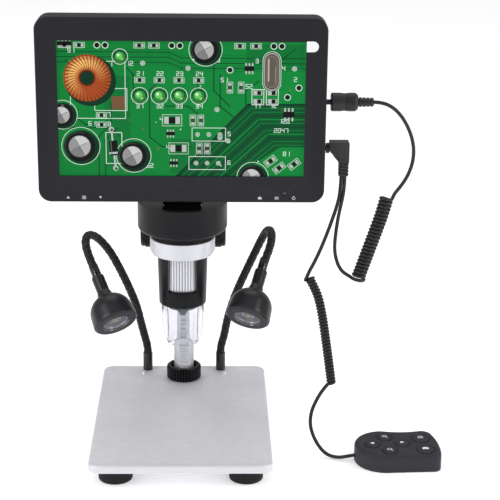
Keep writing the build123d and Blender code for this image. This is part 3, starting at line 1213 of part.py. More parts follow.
with BuildPart() as angle_plug:
    with BuildSketch(Plane(origin=(0, LEAD_Y + ANGLE_BODY_DEPTH / 2, 0), x_dir=(1, 0, 0), z_dir=(0, -1, 0))):
        with BuildLine():
            Polyline(
                (ANGLE_BODY_START, JACK_Z[1] + ANGLE_BODY_HALF),
                (ANGLE_BODY_END, JACK_Z[1] + ANGLE_BODY_HALF),
                (ANGLE_BODY_END, ANGLE_LEG_BOTTOM),
                (ANGLE_BODY_END - ANGLE_LEG_WIDTH, ANGLE_LEG_BOTTOM),
                (ANGLE_BODY_END - ANGLE_LEG_WIDTH, JACK_Z[1] - ANGLE_BODY_HALF),
                (ANGLE_BODY_START + 3.0, JACK_Z[1] - ANGLE_BODY_HALF),
                (ANGLE_BODY_START, JACK_Z[1] - ANGLE_BODY_HALF + 3.0),
                close=True,
            )
        make_face()
    extrude(amount=ANGLE_BODY_DEPTH)
    fillet(angle_plug.edges().filter_by(Axis.Y), 0.8)
    with BuildSketch(Plane.YZ.offset(ANGLE_START)):
        with Locations((LEAD_Y, JACK_Z[1])):
            Circle(ANGLE_COLLAR_RADIUS)
    extrude(amount=ANGLE_COLLAR_LENGTH)
    with BuildSketch(Plane.YZ.offset(DISPLAY_SIDE - JACK_BORE_DEPTH + 0.5)):
        with Locations((LEAD_Y, JACK_Z[1])):
            Circle(PIN_RADIUS)
    extrude(amount=JACK_BORE_DEPTH + 0.5)
    angle_rib = (ANGLE_LEG_BOTTOM - ANGLE_RELIEF_BOTTOM) / RELIEF_RIBS
    with BuildSketch(Plane.XY.offset(ANGLE_LEG_BOTTOM)):
        with Locations((ANGLE_LEG_X, LEAD_Y)):
            RectangleRounded(ANGLE_LEG_WIDTH - 1.4, ANGLE_RELIEF_DEPTH - 1.4, 1.2)
    extrude(amount=ANGLE_RELIEF_BOTTOM - ANGLE_LEG_BOTTOM)
    for rib in range(RELIEF_RIBS):
        with BuildSketch(Plane.XY.offset(ANGLE_RELIEF_BOTTOM + rib * angle_rib)):
            with Locations((ANGLE_LEG_X, LEAD_Y)):
                RectangleRounded(ANGLE_LEG_WIDTH - 0.6, ANGLE_RELIEF_DEPTH - 0.6, 1.5)
        extrude(amount=angle_rib / 2)
save(angle_plug, "angle_plug")

# ------------------------------------------------------------------ leads
POWER_START = (PLUG_RELIEF_END, LEAD_Y, JACK_Z[0])
POWER_END = (POWER_LEAD_X, LEAD_Y, ANGLE_RELIEF_BOTTOM)
REMOTE_START = (REMOTE_LEAD_X, LEAD_Y, ANGLE_RELIEF_BOTTOM)
POWER_TURN = (POWER_LEAD_X, LEAD_Y, LEAD_TURN_Z)
REMOTE_TURN = (REMOTE_LEAD_X, LEAD_Y, LEAD_TURN_Z)

power_out = sweep_tube((POWER_START, *POWER_OUT, POWER_COIL[0]), POWER_LEAD_DIAMETER / 2, "power lead out")
power_back = sweep_tube(
    (POWER_COIL[-1], *POWER_BACK, POWER_TURN, POWER_END), POWER_LEAD_DIAMETER / 2, "power lead back"
)
with BuildPart() as power_lead:
    add(power_out.part)
    add(power_back.part)
save(power_lead, "power_lead")

power_coil = sweep_tube(POWER_COIL, POWER_COIL_DIAMETER / 2, "power coil")
save(power_coil, "power_coil")

remote_lead = sweep_tube(
    (REMOTE_START, REMOTE_TURN, *REMOTE_DOWN, REMOTE_COIL[0]), REMOTE_LEAD_DIAMETER / 2, "remote lead"
)
save(remote_lead, "remote_lead")

remote_coil = sweep_tube(REMOTE_COIL, REMOTE_COIL_DIAMETER / 2, "remote coil")
save(remote_coil, "remote_coil")

remote_tail = sweep_tube((REMOTE_COIL[-1], *REMOTE_TAIL, REMOTE_ENTRY_END), REMOTE_LEAD_DIAMETER / 2, "remote tail")
save(remote_tail, "remote_tail")


# ------------------------------------------------------------------ remote control
with BuildSketch() as remote_arcs:
    with BuildLine():
        ThreePointArc(REMOTE_BACK_LOBE, REMOTE_LEFT_END, REMOTE_FRONT_LOBE)
        ThreePointArc(REMOTE_FRONT_LOBE, REMOTE_FRONT_WAIST, REMOTE_FRONT_CORNER)
        ThreePointArc(REMOTE_FRONT_CORNER, REMOTE_RIGHT_SIDE, REMOTE_BACK_CORNER)
        ThreePointArc(REMOTE_BACK_CORNER, REMOTE_BACK_WAIST, REMOTE_BACK_LOBE)
    make_face()

REMOTE_CORNERS = (
    (REMOTE_FRONT_CORNER, REMOTE_CORNER_FRONT_RADIUS),
    (REMOTE_BACK_CORNER, REMOTE_CORNER_BACK_RADIUS),
    (REMOTE_BACK_LOBE, REMOTE_LOBE_RADIUS),
    (REMOTE_FRONT_LOBE, REMOTE_LOBE_RADIUS),
)


def remote_shape(inset):
    """The remote's rounded outline as a sketch, drawn in by an inset."""
    with BuildSketch() as shape:
        add(remote_arcs.sketch)
        if inset:
            offset(amount=-inset, kind=Kind.INTERSECTION)
        for corner, corner_radius in REMOTE_CORNERS:
            fillet(shape.vertices().sort_by_distance((*corner, 0))[0], corner_radius - inset)
    return shape.sketch


remote_outline = remote_shape(0.0)
remote_inside = remote_shape(REMOTE_WALL)
remote_board_outline = remote_shape(REMOTE_WALL + SEAT_FIT)

REMOTE_CEILING = REMOTE_HEIGHT - REMOTE_WALL
REMOTE_KEY_NAMES = ("zoom_in_key", "left_key", "zoom_out_key", "right_key", "remote_menu_key", "snap_key")
REMOTE_KEYS = []
for quarter in range(4):
    pad_angle = radians(90 + 90 * quarter + REMOTE_PAD_TURN)
    key_x = REMOTE_PAD_CENTRE[0] + REMOTE_PAD_RADIUS * cos(pad_angle)
    key_y = REMOTE_PAD_CENTRE[1] + REMOTE_PAD_RADIUS * sin(pad_angle)
    REMOTE_KEYS.append((key_x, key_y, REMOTE_KEY_RADIUS))
for key_x, key_y in REMOTE_WIDE_KEYS:
    REMOTE_KEYS.append((key_x, key_y, REMOTE_WIDE_KEY_RADIUS))

with BuildPart() as remote_top_shell:
    with BuildSketch(Plane.XY.offset(REMOTE_SPLIT)):
        add(remote_outline)
    extrude(amount=REMOTE_HEIGHT - REMOTE_SPLIT)
    fillet(remote_top_shell.faces().sort_by(Axis.Z)[-1].edges(), REMOTE_TOP_EDGE)
    with BuildSketch(Plane.XY.offset(REMOTE_SPLIT)):
        add(remote_inside)
    extrude(amount=REMOTE_CEILING - REMOTE_SPLIT, mode=Mode.SUBTRACT)
    for key_x, key_y, key_radius in REMOTE_KEYS:
        with Locations((key_x, key_y, REMOTE_HEIGHT)):
            Cone(
                key_radius + REMOTE_KEY_GAP + REMOTE_DISH_FLOOR,
                key_radius + REMOTE_DISH_RIM,
                REMOTE_DISH,
                align=(Align.CENTER, Align.CENTER, Align.MAX),
                mode=Mode.SUBTRACT,
            )
            Cylinder(key_radius + REMOTE_KEY_GAP, 3 * REMOTE_WALL, mode=Mode.SUBTRACT)
save(remote_top_shell, "remote_top_shell")

with BuildPart() as remote_bottom_shell:
    with BuildSketch():
        add(remote_outline)
    extrude(amount=REMOTE_SPLIT)
    fillet(remote_bottom_shell.faces().sort_by(Axis.Z)[0].edges(), REMOTE_BOTTOM_EDGE)
    with BuildSketch(Plane.XY.offset(REMOTE_WALL)):
        add(remote_inside)
    extrude(amount=REMOTE_SPLIT - REMOTE_WALL, mode=Mode.SUBTRACT)
    with BuildSketch(Plane.XY.offset(REMOTE_WALL)):
        with Locations(*REMOTE_POSTS):
            Circle(REMOTE_POST_RADIUS)
    extrude(amount=REMOTE_BOARD_Z - REMOTE_WALL)
    entry_x, entry_y, entry_z = REMOTE_ENTRY_END
    with BuildSketch(Plane.YZ.offset(entry_x)):
        with Locations((entry_y, entry_z)):
            Circle(REMOTE_LEAD_DIAMETER / 2 + SLIDE_FIT)
    extrude(amount=-REMOTE_ENTRY_REACH, mode=Mode.SUBTRACT)
save(remote_bottom_shell, "remote_bottom_shell")

REMOTE_BOARD_TOP = REMOTE_BOARD_Z + BOARD_THICKNESS
REMOTE_FLANGE_BOTTOM = REMOTE_CEILING - SLIDE_FIT - REMOTE_KEY_FLANGE
REMOTE_SWITCH_HEIGHT = REMOTE_FLANGE_BOTTOM - REMOTE_KEY_TRAVEL - KEY_STOP_GAP - REMOTE_BOARD_TOP

with BuildPart() as remote_board:
    with BuildSketch(Plane.XY.offset(REMOTE_BOARD_Z)):
        add(remote_board_outline)
    extrude(amount=BOARD_THICKNESS)
    with BuildSketch(Plane.XY.offset(REMOTE_BOARD_TOP)):
        for key_x, key_y, key_radius in REMOTE_KEYS:
            with Locations((key_x, key_y)):
                Rectangle(SWITCH_SIZE, SWITCH_SIZE)
    extrude(amount=REMOTE_SWITCH_HEIGHT)
save(remote_board, "remote_board")

for (key_x, key_y, key_radius), key_name in zip(REMOTE_KEYS, REMOTE_KEY_NAMES):
    with BuildPart() as remote_key:
        with BuildSketch(Plane(origin=(key_x, key_y, 0), x_dir=(1, 0, 0), z_dir=(0, -1, 0))):
            with BuildLine():
                Polyline(
                    (0, REMOTE_HEIGHT + REMOTE_KEY_PROUD),
                    (0, REMOTE_FLANGE_BOTTOM),
                    (key_radius + REMOTE_KEY_FLANGE, REMOTE_FLANGE_BOTTOM),
                    (key_radius + REMOTE_KEY_FLANGE, REMOTE_CEILING - SLIDE_FIT),
                    (key_radius, REMOTE_CEILING - SLIDE_FIT),
                    (key_radius, REMOTE_HEIGHT - REMOTE_KEY_SHOULDER),
                )
                dome_arc(key_radius, REMOTE_HEIGHT - REMOTE_KEY_SHOULDER, REMOTE_HEIGHT + REMOTE_KEY_PROUD)
            make_face()
        revolve(axis=Axis((key_x, key_y, 0), (0, 0, 1)))
    save(remote_key, key_name)


# ------------------------------------------------------------------ goosenecks and lamp heads
def lamp_plane(origin, direction):
    """A sketch plane whose y axis runs along a lamp and whose x axis is a radius."""
    along = unit(direction)
    across = along.cross(Vector(0, 0, 1)).normalized()
    return Plane(origin=origin, x_dir=across, z_dir=across.cross(along))


def lamp_solid(origin, direction, outline):
    """A turned piece on a lamp's axis, from a closed outline of (radius, distance) points and one arc pair."""
    plane = lamp_plane(origin, direction)
    with BuildPart() as turned:
        with BuildSketch(plane):
            with BuildLine():
                outline()
            make_face()
        revolve(axis=Axis(origin, tuple(unit(direction))))
    return turned


def lamp_head_outline():
    """Half of a bell-shaped lamp head: neck socket at the start, reflector and window at the far end."""
    reflector_end = LAMP_LENGTH - LAMP_WINDOW_DEPTH
    Polyline(
        (NECK_TUBE_RADIUS, 0),
        (LAMP_NECK_RADIUS - LAMP_NECK_EDGE, 0),
        (LAMP_NECK_RADIUS, 2 * LAMP_NECK_EDGE),
        (LAMP_NECK_RADIUS, LAMP_BELL[0][1] - LAMP_NECK_FLARE),
        LAMP_BELL[0],
    )
    ThreePointArc(*LAMP_BELL[:3])
    ThreePointArc(*LAMP_BELL[2:])
    Polyline(
        LAMP_BELL[-1],
        (LAMP_RADIUS, LAMP_LENGTH - LAMP_RIM_WIDTH),
        (LAMP_RADIUS, LAMP_LENGTH - LAMP_FACE_EDGE),
        (LAMP_RADIUS - LAMP_FACE_EDGE, LAMP_LENGTH),
        (LAMP_WINDOW_RADIUS, LAMP_LENGTH),
        (LAMP_WINDOW_RADIUS, reflector_end),
        (LAMP_WINDOW_RADIUS - LAMP_LEDGE, reflector_end),
        (LAMP_LED_SEAT_RADIUS, reflector_end - LAMP_REFLECTOR_DEPTH),
        (0, reflector_end - LAMP_REFLECTOR_DEPTH),
        (0, LAMP_SOCKET_DEPTH),
        (NECK_TUBE_RADIUS, LAMP_SOCKET_DEPTH),
        (NECK_TUBE_RADIUS, 0),
    )


def lamp_lens_outline():
    """Half of the clear disc in a lamp's window."""
    lens_back = LAMP_LENGTH - LAMP_WINDOW_DEPTH
    Polyline(
        (0, lens_back),
        (LAMP_WINDOW_RADIUS, lens_back),
        (LAMP_WINDOW_RADIUS, lens_back + LAMP_LENS_THICKNESS),
        (0, lens_back + LAMP_LENS_THICKNESS),
        close=True,
    )


for side_name, side, route, lamp_origin, lamp_direction in (
    ("left", -1, NECK_ROUTE_LEFT, LAMP_NECK_LEFT, LAMP_AXIS_LEFT),
    ("right", 1, NECK_ROUTE_RIGHT, LAMP_NECK_RIGHT, LAMP_AXIS_RIGHT),
):
    neck_start = (side * SOCKET_X, SOCKET_Y, PLATE_TOP + SOCKET_HEIGHT)
    neck_rise = (side * SOCKET_X, SOCKET_Y, PLATE_TOP + SOCKET_HEIGHT + NECK_RISE)
    neck_approach = tuple(Vector(*lamp_origin) - unit(lamp_direction) * NECK_APPROACH)
    neck_end = tuple(Vector(*lamp_origin) + unit(lamp_direction) * LAMP_SOCKET_DEPTH)
    neck_points = (neck_start, neck_rise, *route, neck_approach, neck_end)
    with BuildPart() as gooseneck:
        add(sweep_tube(neck_points, NECK_TUBE_RADIUS, f"gooseneck {side_name}").part)
        with BuildSketch(Plane(origin=neck_start)):
            Circle(NECK_PIN_RADIUS)
        extrude(amount=SEAT_FIT - SOCKET_BORE_DEPTH)
    save(gooseneck, f"gooseneck_{side_name}")
    lamp_head = lamp_solid(lamp_origin, lamp_direction, lamp_head_outline)
    save(lamp_head, f"lamp_head_{side_name}")
    lamp_lens = lamp_solid(lamp_origin, lamp_direction, lamp_lens_outline)
    save(lamp_lens, f"lamp_lens_{side_name}")
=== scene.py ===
"""The look of a display microscope on a rack stand: cords, lamps, screen picture, key symbols and finishes."""

import math
import random

import bpy
from mathutils import Matrix, Vector


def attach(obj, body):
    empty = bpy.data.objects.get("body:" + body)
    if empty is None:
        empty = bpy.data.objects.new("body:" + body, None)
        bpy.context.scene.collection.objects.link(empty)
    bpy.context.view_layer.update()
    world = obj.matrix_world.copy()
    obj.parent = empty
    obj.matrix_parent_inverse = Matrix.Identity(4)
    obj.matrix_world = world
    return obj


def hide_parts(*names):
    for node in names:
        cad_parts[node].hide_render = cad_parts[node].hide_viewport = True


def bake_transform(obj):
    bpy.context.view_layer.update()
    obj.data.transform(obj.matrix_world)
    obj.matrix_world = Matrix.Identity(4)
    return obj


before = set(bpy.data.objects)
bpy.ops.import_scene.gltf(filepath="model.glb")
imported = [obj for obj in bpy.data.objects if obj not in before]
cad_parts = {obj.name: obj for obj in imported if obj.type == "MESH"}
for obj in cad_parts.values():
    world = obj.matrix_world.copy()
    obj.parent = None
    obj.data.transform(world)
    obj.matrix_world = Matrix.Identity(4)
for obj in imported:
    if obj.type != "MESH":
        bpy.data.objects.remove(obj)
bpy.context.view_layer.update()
bpy.ops.object.select_all(action="DESELECT")

MM = 0.001
FULL_TURN = 2 * math.pi
SCOPE_Y = 17


# ---------------------------------------------------------------- finishes


def tone(red, green, blue):
    """A linear colour from screen levels of 0 to 255."""
    linear = []
    for level in (red, green, blue):
        share = level / 255
        linear.append(share / 12.92 if share <= 0.04045 else ((share + 0.055) / 1.055) ** 2.4)
    return (*linear, 1.0)


def lighter(colour, factor):
    return (*(min(1.0, channel * factor) for channel in colour[:3]), 1.0)


def fill(tree, node, inputs):
    """Sets a node's inputs, given by name or place, or links them where the value is a socket."""
    for key, value in inputs.items():
        if isinstance(value, bpy.types.NodeSocket):
            tree.links.new(value, node.inputs[key])
        else:
            node.inputs[key].default_value = value
    return node


def add_node(tree, kind, inputs, result, operation=None):
    """The named result of a new shader node."""
    node = tree.nodes.new("ShaderNode" + kind)
    if operation:
        node.operation = operation
    return fill(tree, node, inputs).outputs[result]


def own_place(tree):
    return add_node(tree, "TexCoord", {}, "Object")


def upward(tree, vector):
    return add_node(tree, "SeparateXYZ", {"Vector": vector}, "Z")


def facing(tree):
    """How far a surface faces upwards."""
    return upward(tree, add_node(tree, "NewGeometry", {}, "Normal"))


def noise(tree, scale, detail, place=None):
    """A noise in the piece's own coordinates, or in the given ones."""
    inputs = {"Scale": scale, "Detail": detail, "Vector": place or own_place(tree)}
    return add_node(tree, "TexNoise", inputs, "Fac")


def ramp(tree, value, zero, one):
    """A share that is 0 where the value is at zero, and 1 where it is at one."""
    return add_node(tree, "MapRange", {"Value": value, "From Min": zero, "From Max": one}, "Result")


def spread(tree, share, low, high):
    return add_node(tree, "MapRange", {"Value": share, "To Min": low, "To Max": high}, "Result")


def start_group(name, **inputs):
    """A node group, and the sockets by which its inputs come in."""
    group = bpy.data.node_groups.new(name, "ShaderNodeTree")
    for key, value in inputs.items():
        socket = group.interface.new_socket(key.replace("_", " "), in_out="INPUT", socket_type="NodeSocketFloat")
        socket.default_value = value
    return group, group.nodes.new("NodeGroupInput").outputs


def end_group(group, **results):
    for key in results:
        group.interface.new_socket(key, in_out="OUTPUT", socket_type="NodeSocketFloat")
    fill(group, group.nodes.new("NodeGroupOutput"), results)
    return group


def make_grain_group():
    """Moulded or blasted grain: a fine height and a slow cloud of shade."""
    group, entry = start_group("moulded grain", Fine=1500.0, Cloud=40.0)
    place = own_place(group)
    fine, cloud = noise(group, entry["Fine"], 2.0, place), noise(group, entry["Cloud"], 4.0, place)
    return end_group(group, Height=fine, Cloud=cloud)


def make_wear_group():
    """A mask that is 1 on edges where hands rub the finish, broken up by a noise."""
    group, entry = start_group("edge wear", From=0.53, To=0.62)
    edge = ramp(group, add_node(group, "NewGeometry", {}, "Pointiness"), entry["From"], entry["To"])
    inputs = {0: edge, 1: noise(group, 220.0, 4.0)}
    return end_group(group, Mask=add_node(group, "Math", inputs, "Value", "MULTIPLY"))


def make_dust_group():
    """A mask of light dust on surfaces that face upwards."""
    group, entry = start_group("settled dust", Patch=90.0)
    inputs = {0: ramp(group, facing(group), 0.4, 1.0), 1: ramp(group, noise(group, entry["Patch"], 6.0), 0.5, 0.8)}
    return end_group(group, Mask=add_node(group, "Math", inputs, "Value", "MULTIPLY"))


def make_drawn_group():
    """Fine drawn or turned lines: a noise stretched across one direction."""
    group, entry = start_group("drawn lines", Across_X=900.0, Across_Y=900.0, Across_Z=20.0)
    stretch = add_node(group, "CombineXYZ", {axis: entry["Across " + axis] for axis in "XYZ"}, "Vector")
    place = add_node(group, "VectorMath", {0: own_place(group), 1: stretch}, "Vector", "MULTIPLY")
    return end_group(group, Height=noise(group, 1.0, 2.0, place))


def make_steep_shade_group():
    """A mask that is 1 on faces that stand steeply, used to paint shade on them."""
    group, entry = start_group("steep face shade", Level=0.8, Upright=0.3)
    return end_group(group, Mask=ramp(group, facing(group), entry["Level"], entry["Upright"]))


def make_flute_shade_group():
    """A mask for painted shade: 1 in the hollows between the focus wheel's flutes, and round its foot for a
    painted shadow there.
    """
    group, entry = start_group("flute hollow shade", Rim=0.01424, Hollow=0.01400, Low=0.1002, High=0.1016)
    axis = (0.0, SCOPE_Y * MM, 0.0)
    middle = add_node(group, "VectorMath", {0: own_place(group), 1: axis}, "Vector", "SUBTRACT")
    flat = add_node(group, "VectorMath", {0: middle, 1: (1.0, 1.0, 0.0)}, "Vector", "MULTIPLY")
    reach = add_node(group, "VectorMath", {0: flat}, "Value", "LENGTH")
    inputs = {
        0: ramp(group, reach, entry["Rim"], entry["Hollow"]),
        1: ramp(group, upward(group, middle), entry["High"], entry["Low"]),
    }
    return end_group(group, Mask=add_node(group, "Math", inputs, "Value", "MAXIMUM"))


GRAIN = make_grain_group()
WEAR = make_wear_group()
DUST = make_dust_group()
DRAWN = make_drawn_group()
STEEP_SHADE_MASK = make_steep_shade_group()
FLUTE_SHADE_MASK = make_flute_shade_group()


def add_group(tree, group, **values):
    """The results of a shared effect, with its inputs set by name."""
    node = tree.nodes.new("ShaderNodeGroup")
    node.node_tree = group
    return fill(tree, node, {name.replace("_", " "): value for name, value in values.items()}).outputs


def blank_material(name):
    material = bpy.data.materials.new(name)
    material.use_nodes = True
    return material, material.node_tree, material.node_tree.nodes["Principled BSDF"]


def blend_colour(tree, mask, first, second):
    """A colour that goes from first to second with the mask; each is a colour or a socket."""
    mix = tree.nodes.new("ShaderNodeMix")
    mix.data_type = "RGBA"
    return fill(tree, mix, {"Factor": mask, "A": first, "B": second}).outputs["Result"]


DUST_COLOUR = tone(150, 148, 144)
RUBBED_LIGHTER = 2.2
GLOSS_SPREAD = 0.06


def finish(
    name, colour, roughness, metallic=0.0, fine=1500.0, relief=0.02, cloud=40.0, shade=0.10, wear=0.0,
    worn=None, dust=0.0, coat=0.0, specular=0.5, lines=None, line_relief=0.01, painted_groove_shade=None, painted_flank_shade=None,
):
    """A solid finish: grain in the normal, slow shade in colour and gloss, rubbed edges, painted shade and settled
    dust.
    """
    material, tree, shader = blank_material(name)
    grain = add_group(tree, GRAIN, Fine=fine, Cloud=cloud)
    painted = blend_colour(tree, grain["Cloud"], lighter(colour, 1 - shade), lighter(colour, 1 + shade))
    if wear:
        amount = spread(tree, add_group(tree, WEAR)["Mask"], 0.0, wear)
        painted = blend_colour(tree, amount, painted, worn or lighter(colour, RUBBED_LIGHTER))
    # Painted shade: one ink darkens the flute hollows and paints a shadow round the focus wheel's foot, the other
    # darkens steep faces.
    for effect, ink in ((FLUTE_SHADE_MASK, painted_groove_shade), (STEEP_SHADE_MASK, painted_flank_shade)):
        if ink:
            painted = blend_colour(tree, add_group(tree, effect)["Mask"], painted, ink)
    if dust:
        amount = spread(tree, add_group(tree, DUST)["Mask"], 0.0, dust)
        painted = blend_colour(tree, amount, painted, DUST_COLOUR)
    normal = add_node(tree, "Bump", {"Distance": relief * MM, "Height": grain["Height"]}, "Normal")
    if lines:
        drawn = add_group(tree, DRAWN, Across_X=lines[0], Across_Y=lines[1], Across_Z=lines[2])
        inputs = {"Distance": line_relief * MM, "Height": drawn["Height"], "Normal": normal}
        normal = add_node(tree, "Bump", inputs, "Normal")
    fill(
        tree, shader,
        {
            "Base Color": painted,
            "Roughness": spread(tree, grain["Cloud"], roughness - GLOSS_SPREAD, roughness + GLOSS_SPREAD),
            "Normal": normal, "Metallic": metallic, "Specular IOR Level": specular, "Coat Weight": coat,
            "Coat Roughness": 0.08,
        },
    )
    return material


def clear(name, colour, roughness, ior=1.49):
    """A clear plastic or glass, with faint hazy patches in its gloss."""
    material, tree, shader = blank_material(name)
    cloud = add_group(tree, GRAIN, Fine=600.0, Cloud=60.0)["Cloud"]
    fill(
        tree, shader,
        {
            "Base Color": blend_colour(tree, cloud, colour, lighter(colour, 0.97)),
            "Roughness": spread(tree, cloud, roughness, roughness + 0.04),
            "Transmission Weight": 1.0, "IOR": ior,
        },
    )
    return material


def lit_ink(name, glow, roughness):
    """A lit flat picture that takes its colours from the piece's own ink attribute."""
    material, tree, shader = blank_material(name)
    ink = tree.nodes.new("ShaderNodeAttribute")
    ink.attribute_name = "ink"
    cloud = add_group(tree, GRAIN, Fine=2600.0, Cloud=120.0)["Cloud"]
    black = (0.0, 0.0, 0.0, 1.0)
    shaded = blend_colour(tree, spread(tree, cloud, 0.0, 0.12), ink.outputs["Color"], black)
    printed = blend_colour(tree, spread(tree, cloud, 0.58, 0.62), shaded, black)
    fill(
        tree, shader,
        {
            "Base Color": printed, "Specular IOR Level": 0.12, "Emission Color": shaded,
            "Emission Strength": glow, "Roughness": roughness,
        },
    )
    return material


# Each finish has its screen levels, its roughness, and what sets it apart.
FINISH_TABLE = {
    "bead blasted plate": ((216, 216, 222), 0.46, dict(
        metallic=0.2, fine=2600, relief=0.015, shade=0.02, wear=0.7, worn=(250, 250, 252),
        specular=0.4,
    )),
    "black rubber": ((34, 32, 34), 0.75, dict(fine=900, relief=0.05, dust=0.15, specular=0.25)),
    "plated screw": ((180, 180, 184), 0.25, dict(
        metallic=1.0, fine=3000, relief=0.004, shade=0.08, dust=0.05,
    )),
    "ground column": ((206, 207, 212), 0.3, dict(
        metallic=0.6, relief=0.003, lines=(60, 60, 1500), line_relief=0.003,
    )),
    "rack steel": ((222, 223, 228), 0.38, dict(metallic=0.4, relief=0.01, wear=0.6)),
    "black anodised": ((15, 15, 19), 0.38, dict(
        fine=2600, relief=0.006, wear=0.15, worn=(48, 48, 53), dust=0.02, specular=0.2,
        lines=(30, 30, 1300), line_relief=0.003,
    )),
    "black ferrule": ((24, 24, 28), 0.2, dict(
        metallic=0.3, relief=0.004, wear=0.4, worn=(100, 100, 104), dust=0.02, coat=0.5,
    )),
    "carriage paint": ((17, 17, 19), 0.5, dict(fine=1800, relief=0.03, dust=0.04, specular=0.2)),
    "knob plastic": ((15, 15, 17), 0.42, dict(fine=1400, wear=0.25, dust=0.03, specular=0.3)),
    "turned silver": ((206, 207, 212), 0.3, dict(
        metallic=0.85, relief=0.004, shade=0.04, lines=(40, 40, 1600), line_relief=0.004,
    )),
    # Its groove ink is painted shade in the flute hollows and a painted shadow round the wheel's foot.
    "fluted silver": ((226, 227, 232), 0.34, dict(
        metallic=0.5, relief=0.003, shade=0.03, painted_groove_shade=(104, 105, 112),
    )),
    "bright dome": ((232, 232, 235), 0.3, dict(metallic=0.5, relief=0.003, shade=0.03)),
    "lens black": ((78, 78, 84), 0.4, dict(metallic=0.2, relief=0.01, wear=0.4)),
    "display plastic": ((30, 30, 35), 0.5, dict(
        fine=1700, cloud=25, shade=0.05, wear=0.25, worn=(70, 70, 76), dust=0.03,
        specular=0.2,
    )),
    "display glass": ((8, 10, 9), 0.12, dict(relief=0.001, coat=0.6)),
    "jack plastic": ((20, 20, 22), 0.45, dict(specular=0.3)),
    "key plastic": ((28, 28, 32), 0.4, dict(wear=0.4, dust=0.12, specular=0.3)),
    "plug plastic": ((36, 36, 39), 0.42, dict(
        fine=1300, relief=0.03, wear=0.3, dust=0.05, specular=0.35,
    )),
    "cord sleeve": ((30, 30, 33), 0.42, dict(fine=1200, dust=0.04, specular=0.35)),
    "remote plastic": ((45, 45, 51), 0.55, dict(
        relief=0.04, shade=0.06, wear=0.3, dust=0.04, specular=0.25,
    )),
    # Its flank ink is painted shade on the steep sides of the keys.
    "remote rubber": ((45, 45, 51), 0.55, dict(
        fine=1100, wear=0.2, dust=0.03, specular=0.25, painted_flank_shade=(6, 6, 8),
    )),
    "braid wire": ((52, 52, 57), 0.26, dict(
        metallic=0.45, fine=2200, relief=0.006, cloud=700, shade=0.45,
    )),
    "braid core": ((8, 8, 9), 0.7, dict(specular=0.1)),
    "lamp black": ((32, 32, 36), 0.34, dict(
        fine=2400, relief=0.008, wear=0.2, worn=(76, 76, 82), dust=0.02, specular=0.35,
    )),
    "collar black": ((12, 12, 14), 0.12, dict(relief=0.002, coat=0.6)),
    "bright reflector": ((176, 177, 182), 0.2, dict(metallic=1.0, cloud=160, shade=0.3)),
    "solder mask": ((16, 74, 40), 0.35, dict(fine=1200, cloud=90, shade=0.25)),
    "chip phosphor": ((252, 244, 130), 0.4, dict(relief=0.01)),
    "white film": ((236, 236, 240), 0.4, dict(relief=0.004, shade=0.02)),
    "symbol ink": ((196, 196, 202), 0.5, dict(relief=0.004, shade=0.03)),
    "remote symbol ink": ((232, 232, 236), 0.5, dict(relief=0.004)),
    "smoked lens": ((34, 34, 40), 0.15, dict(relief=0.002, coat=0.6)),
}
FINISHES = {
    "clear hood": clear("clear hood", tone(240, 240, 246), 0.02),
    "window glass": clear("window glass", tone(236, 237, 240), 0.03, 1.52),
    "screen picture": lit_ink("screen picture", 0.6, 0.3),
}
for finish_name, (levels, roughness, extra) in FINISH_TABLE.items():
    inks = {key: tone(*extra[key]) for key in ("worn", "painted_groove_shade", "painted_flank_shade") if key in extra}
    FINISHES[finish_name] = finish(finish_name, tone(*levels), roughness, **{**extra, **inks})

NODE_FINISHES = {
    "bead blasted plate": ["base_plate"],
    "black rubber": ["rubber_feet"],
    "plated screw": [
        "foot_screws", "column_bolt", "ring_screws", "display_screws", "hinge_pin", "pinion_shaft",
    ],
    "rack steel": ["column_rack"],
    "ground column": ["column_bar"],
    "black anodised": ["column_lock_ring", "focus_sleeve", "barrel_housing", "barrel_cap"],
    "black ferrule": ["neck_sockets"],
    "carriage paint": ["carriage_block", "pinion_bush", "hinge_neck"],
    "knob plastic": ["focus_knobs"],
    "turned silver": ["holder_ring"],
    "fluted silver": ["focus_wheel"],
    "bright dome": ["dome_screws"],
    "lens black": ["lens_cell"],
    "clear hood": ["clear_hood"],
    "window glass": ["lamp_lens_left", "lamp_lens_right"],
    "solder mask": ["camera_board", "led_ring", "driver_board", "key_strips", "remote_board"],
    "display plastic": ["display_bezel", "rear_shell"],
    "display glass": ["lcd_module"],
    "jack plastic": ["side_jacks"],
    "key plastic": ["menu_key", "up_key", "down_key", "ok_key", "shutter_key", "power_key"],
    "plug plastic": ["straight_plug", "angle_plug"],
    "cord sleeve": ["power_lead", "power_coil", "remote_lead", "remote_coil", "remote_tail"],
    "remote plastic": ["remote_top_shell", "remote_bottom_shell"],
    "remote rubber": [
        "zoom_in_key", "left_key", "zoom_out_key", "right_key", "remote_menu_key", "snap_key",
    ],
    "braid core": ["gooseneck_left", "gooseneck_right"],
    "lamp black": ["lamp_head_left", "lamp_head_right"],
}


# ---------------------------------------------------------------- shaping helpers


def metres(points):
    return [Vector(point) * MM for point in points]


def choose(piece):
    """Makes the piece the only selected and active one."""
    bpy.ops.object.select_all(action="DESELECT")
    piece.select_set(True)
    bpy.context.view_layer.objects.active = piece


def placed(name, data):
    piece = bpy.data.objects.new(name, data)
    bpy.context.scene.collection.objects.link(piece)
    return piece


def mesh_piece(name, points, edges, faces):
    mesh = bpy.data.meshes.new(name)
    mesh.from_pydata(points, edges, faces)
    return placed(name, mesh)


def thicken(piece, thickness):
    """Gives a flat piece this thickness, towards the side that its faces look to."""
    choose(piece)
    solidify = piece.modifiers.new("thickness", "SOLIDIFY")
    solidify.thickness = thickness * MM
    solidify.offset = 1.0
    bpy.ops.object.modifier_apply(modifier=solidify.name)


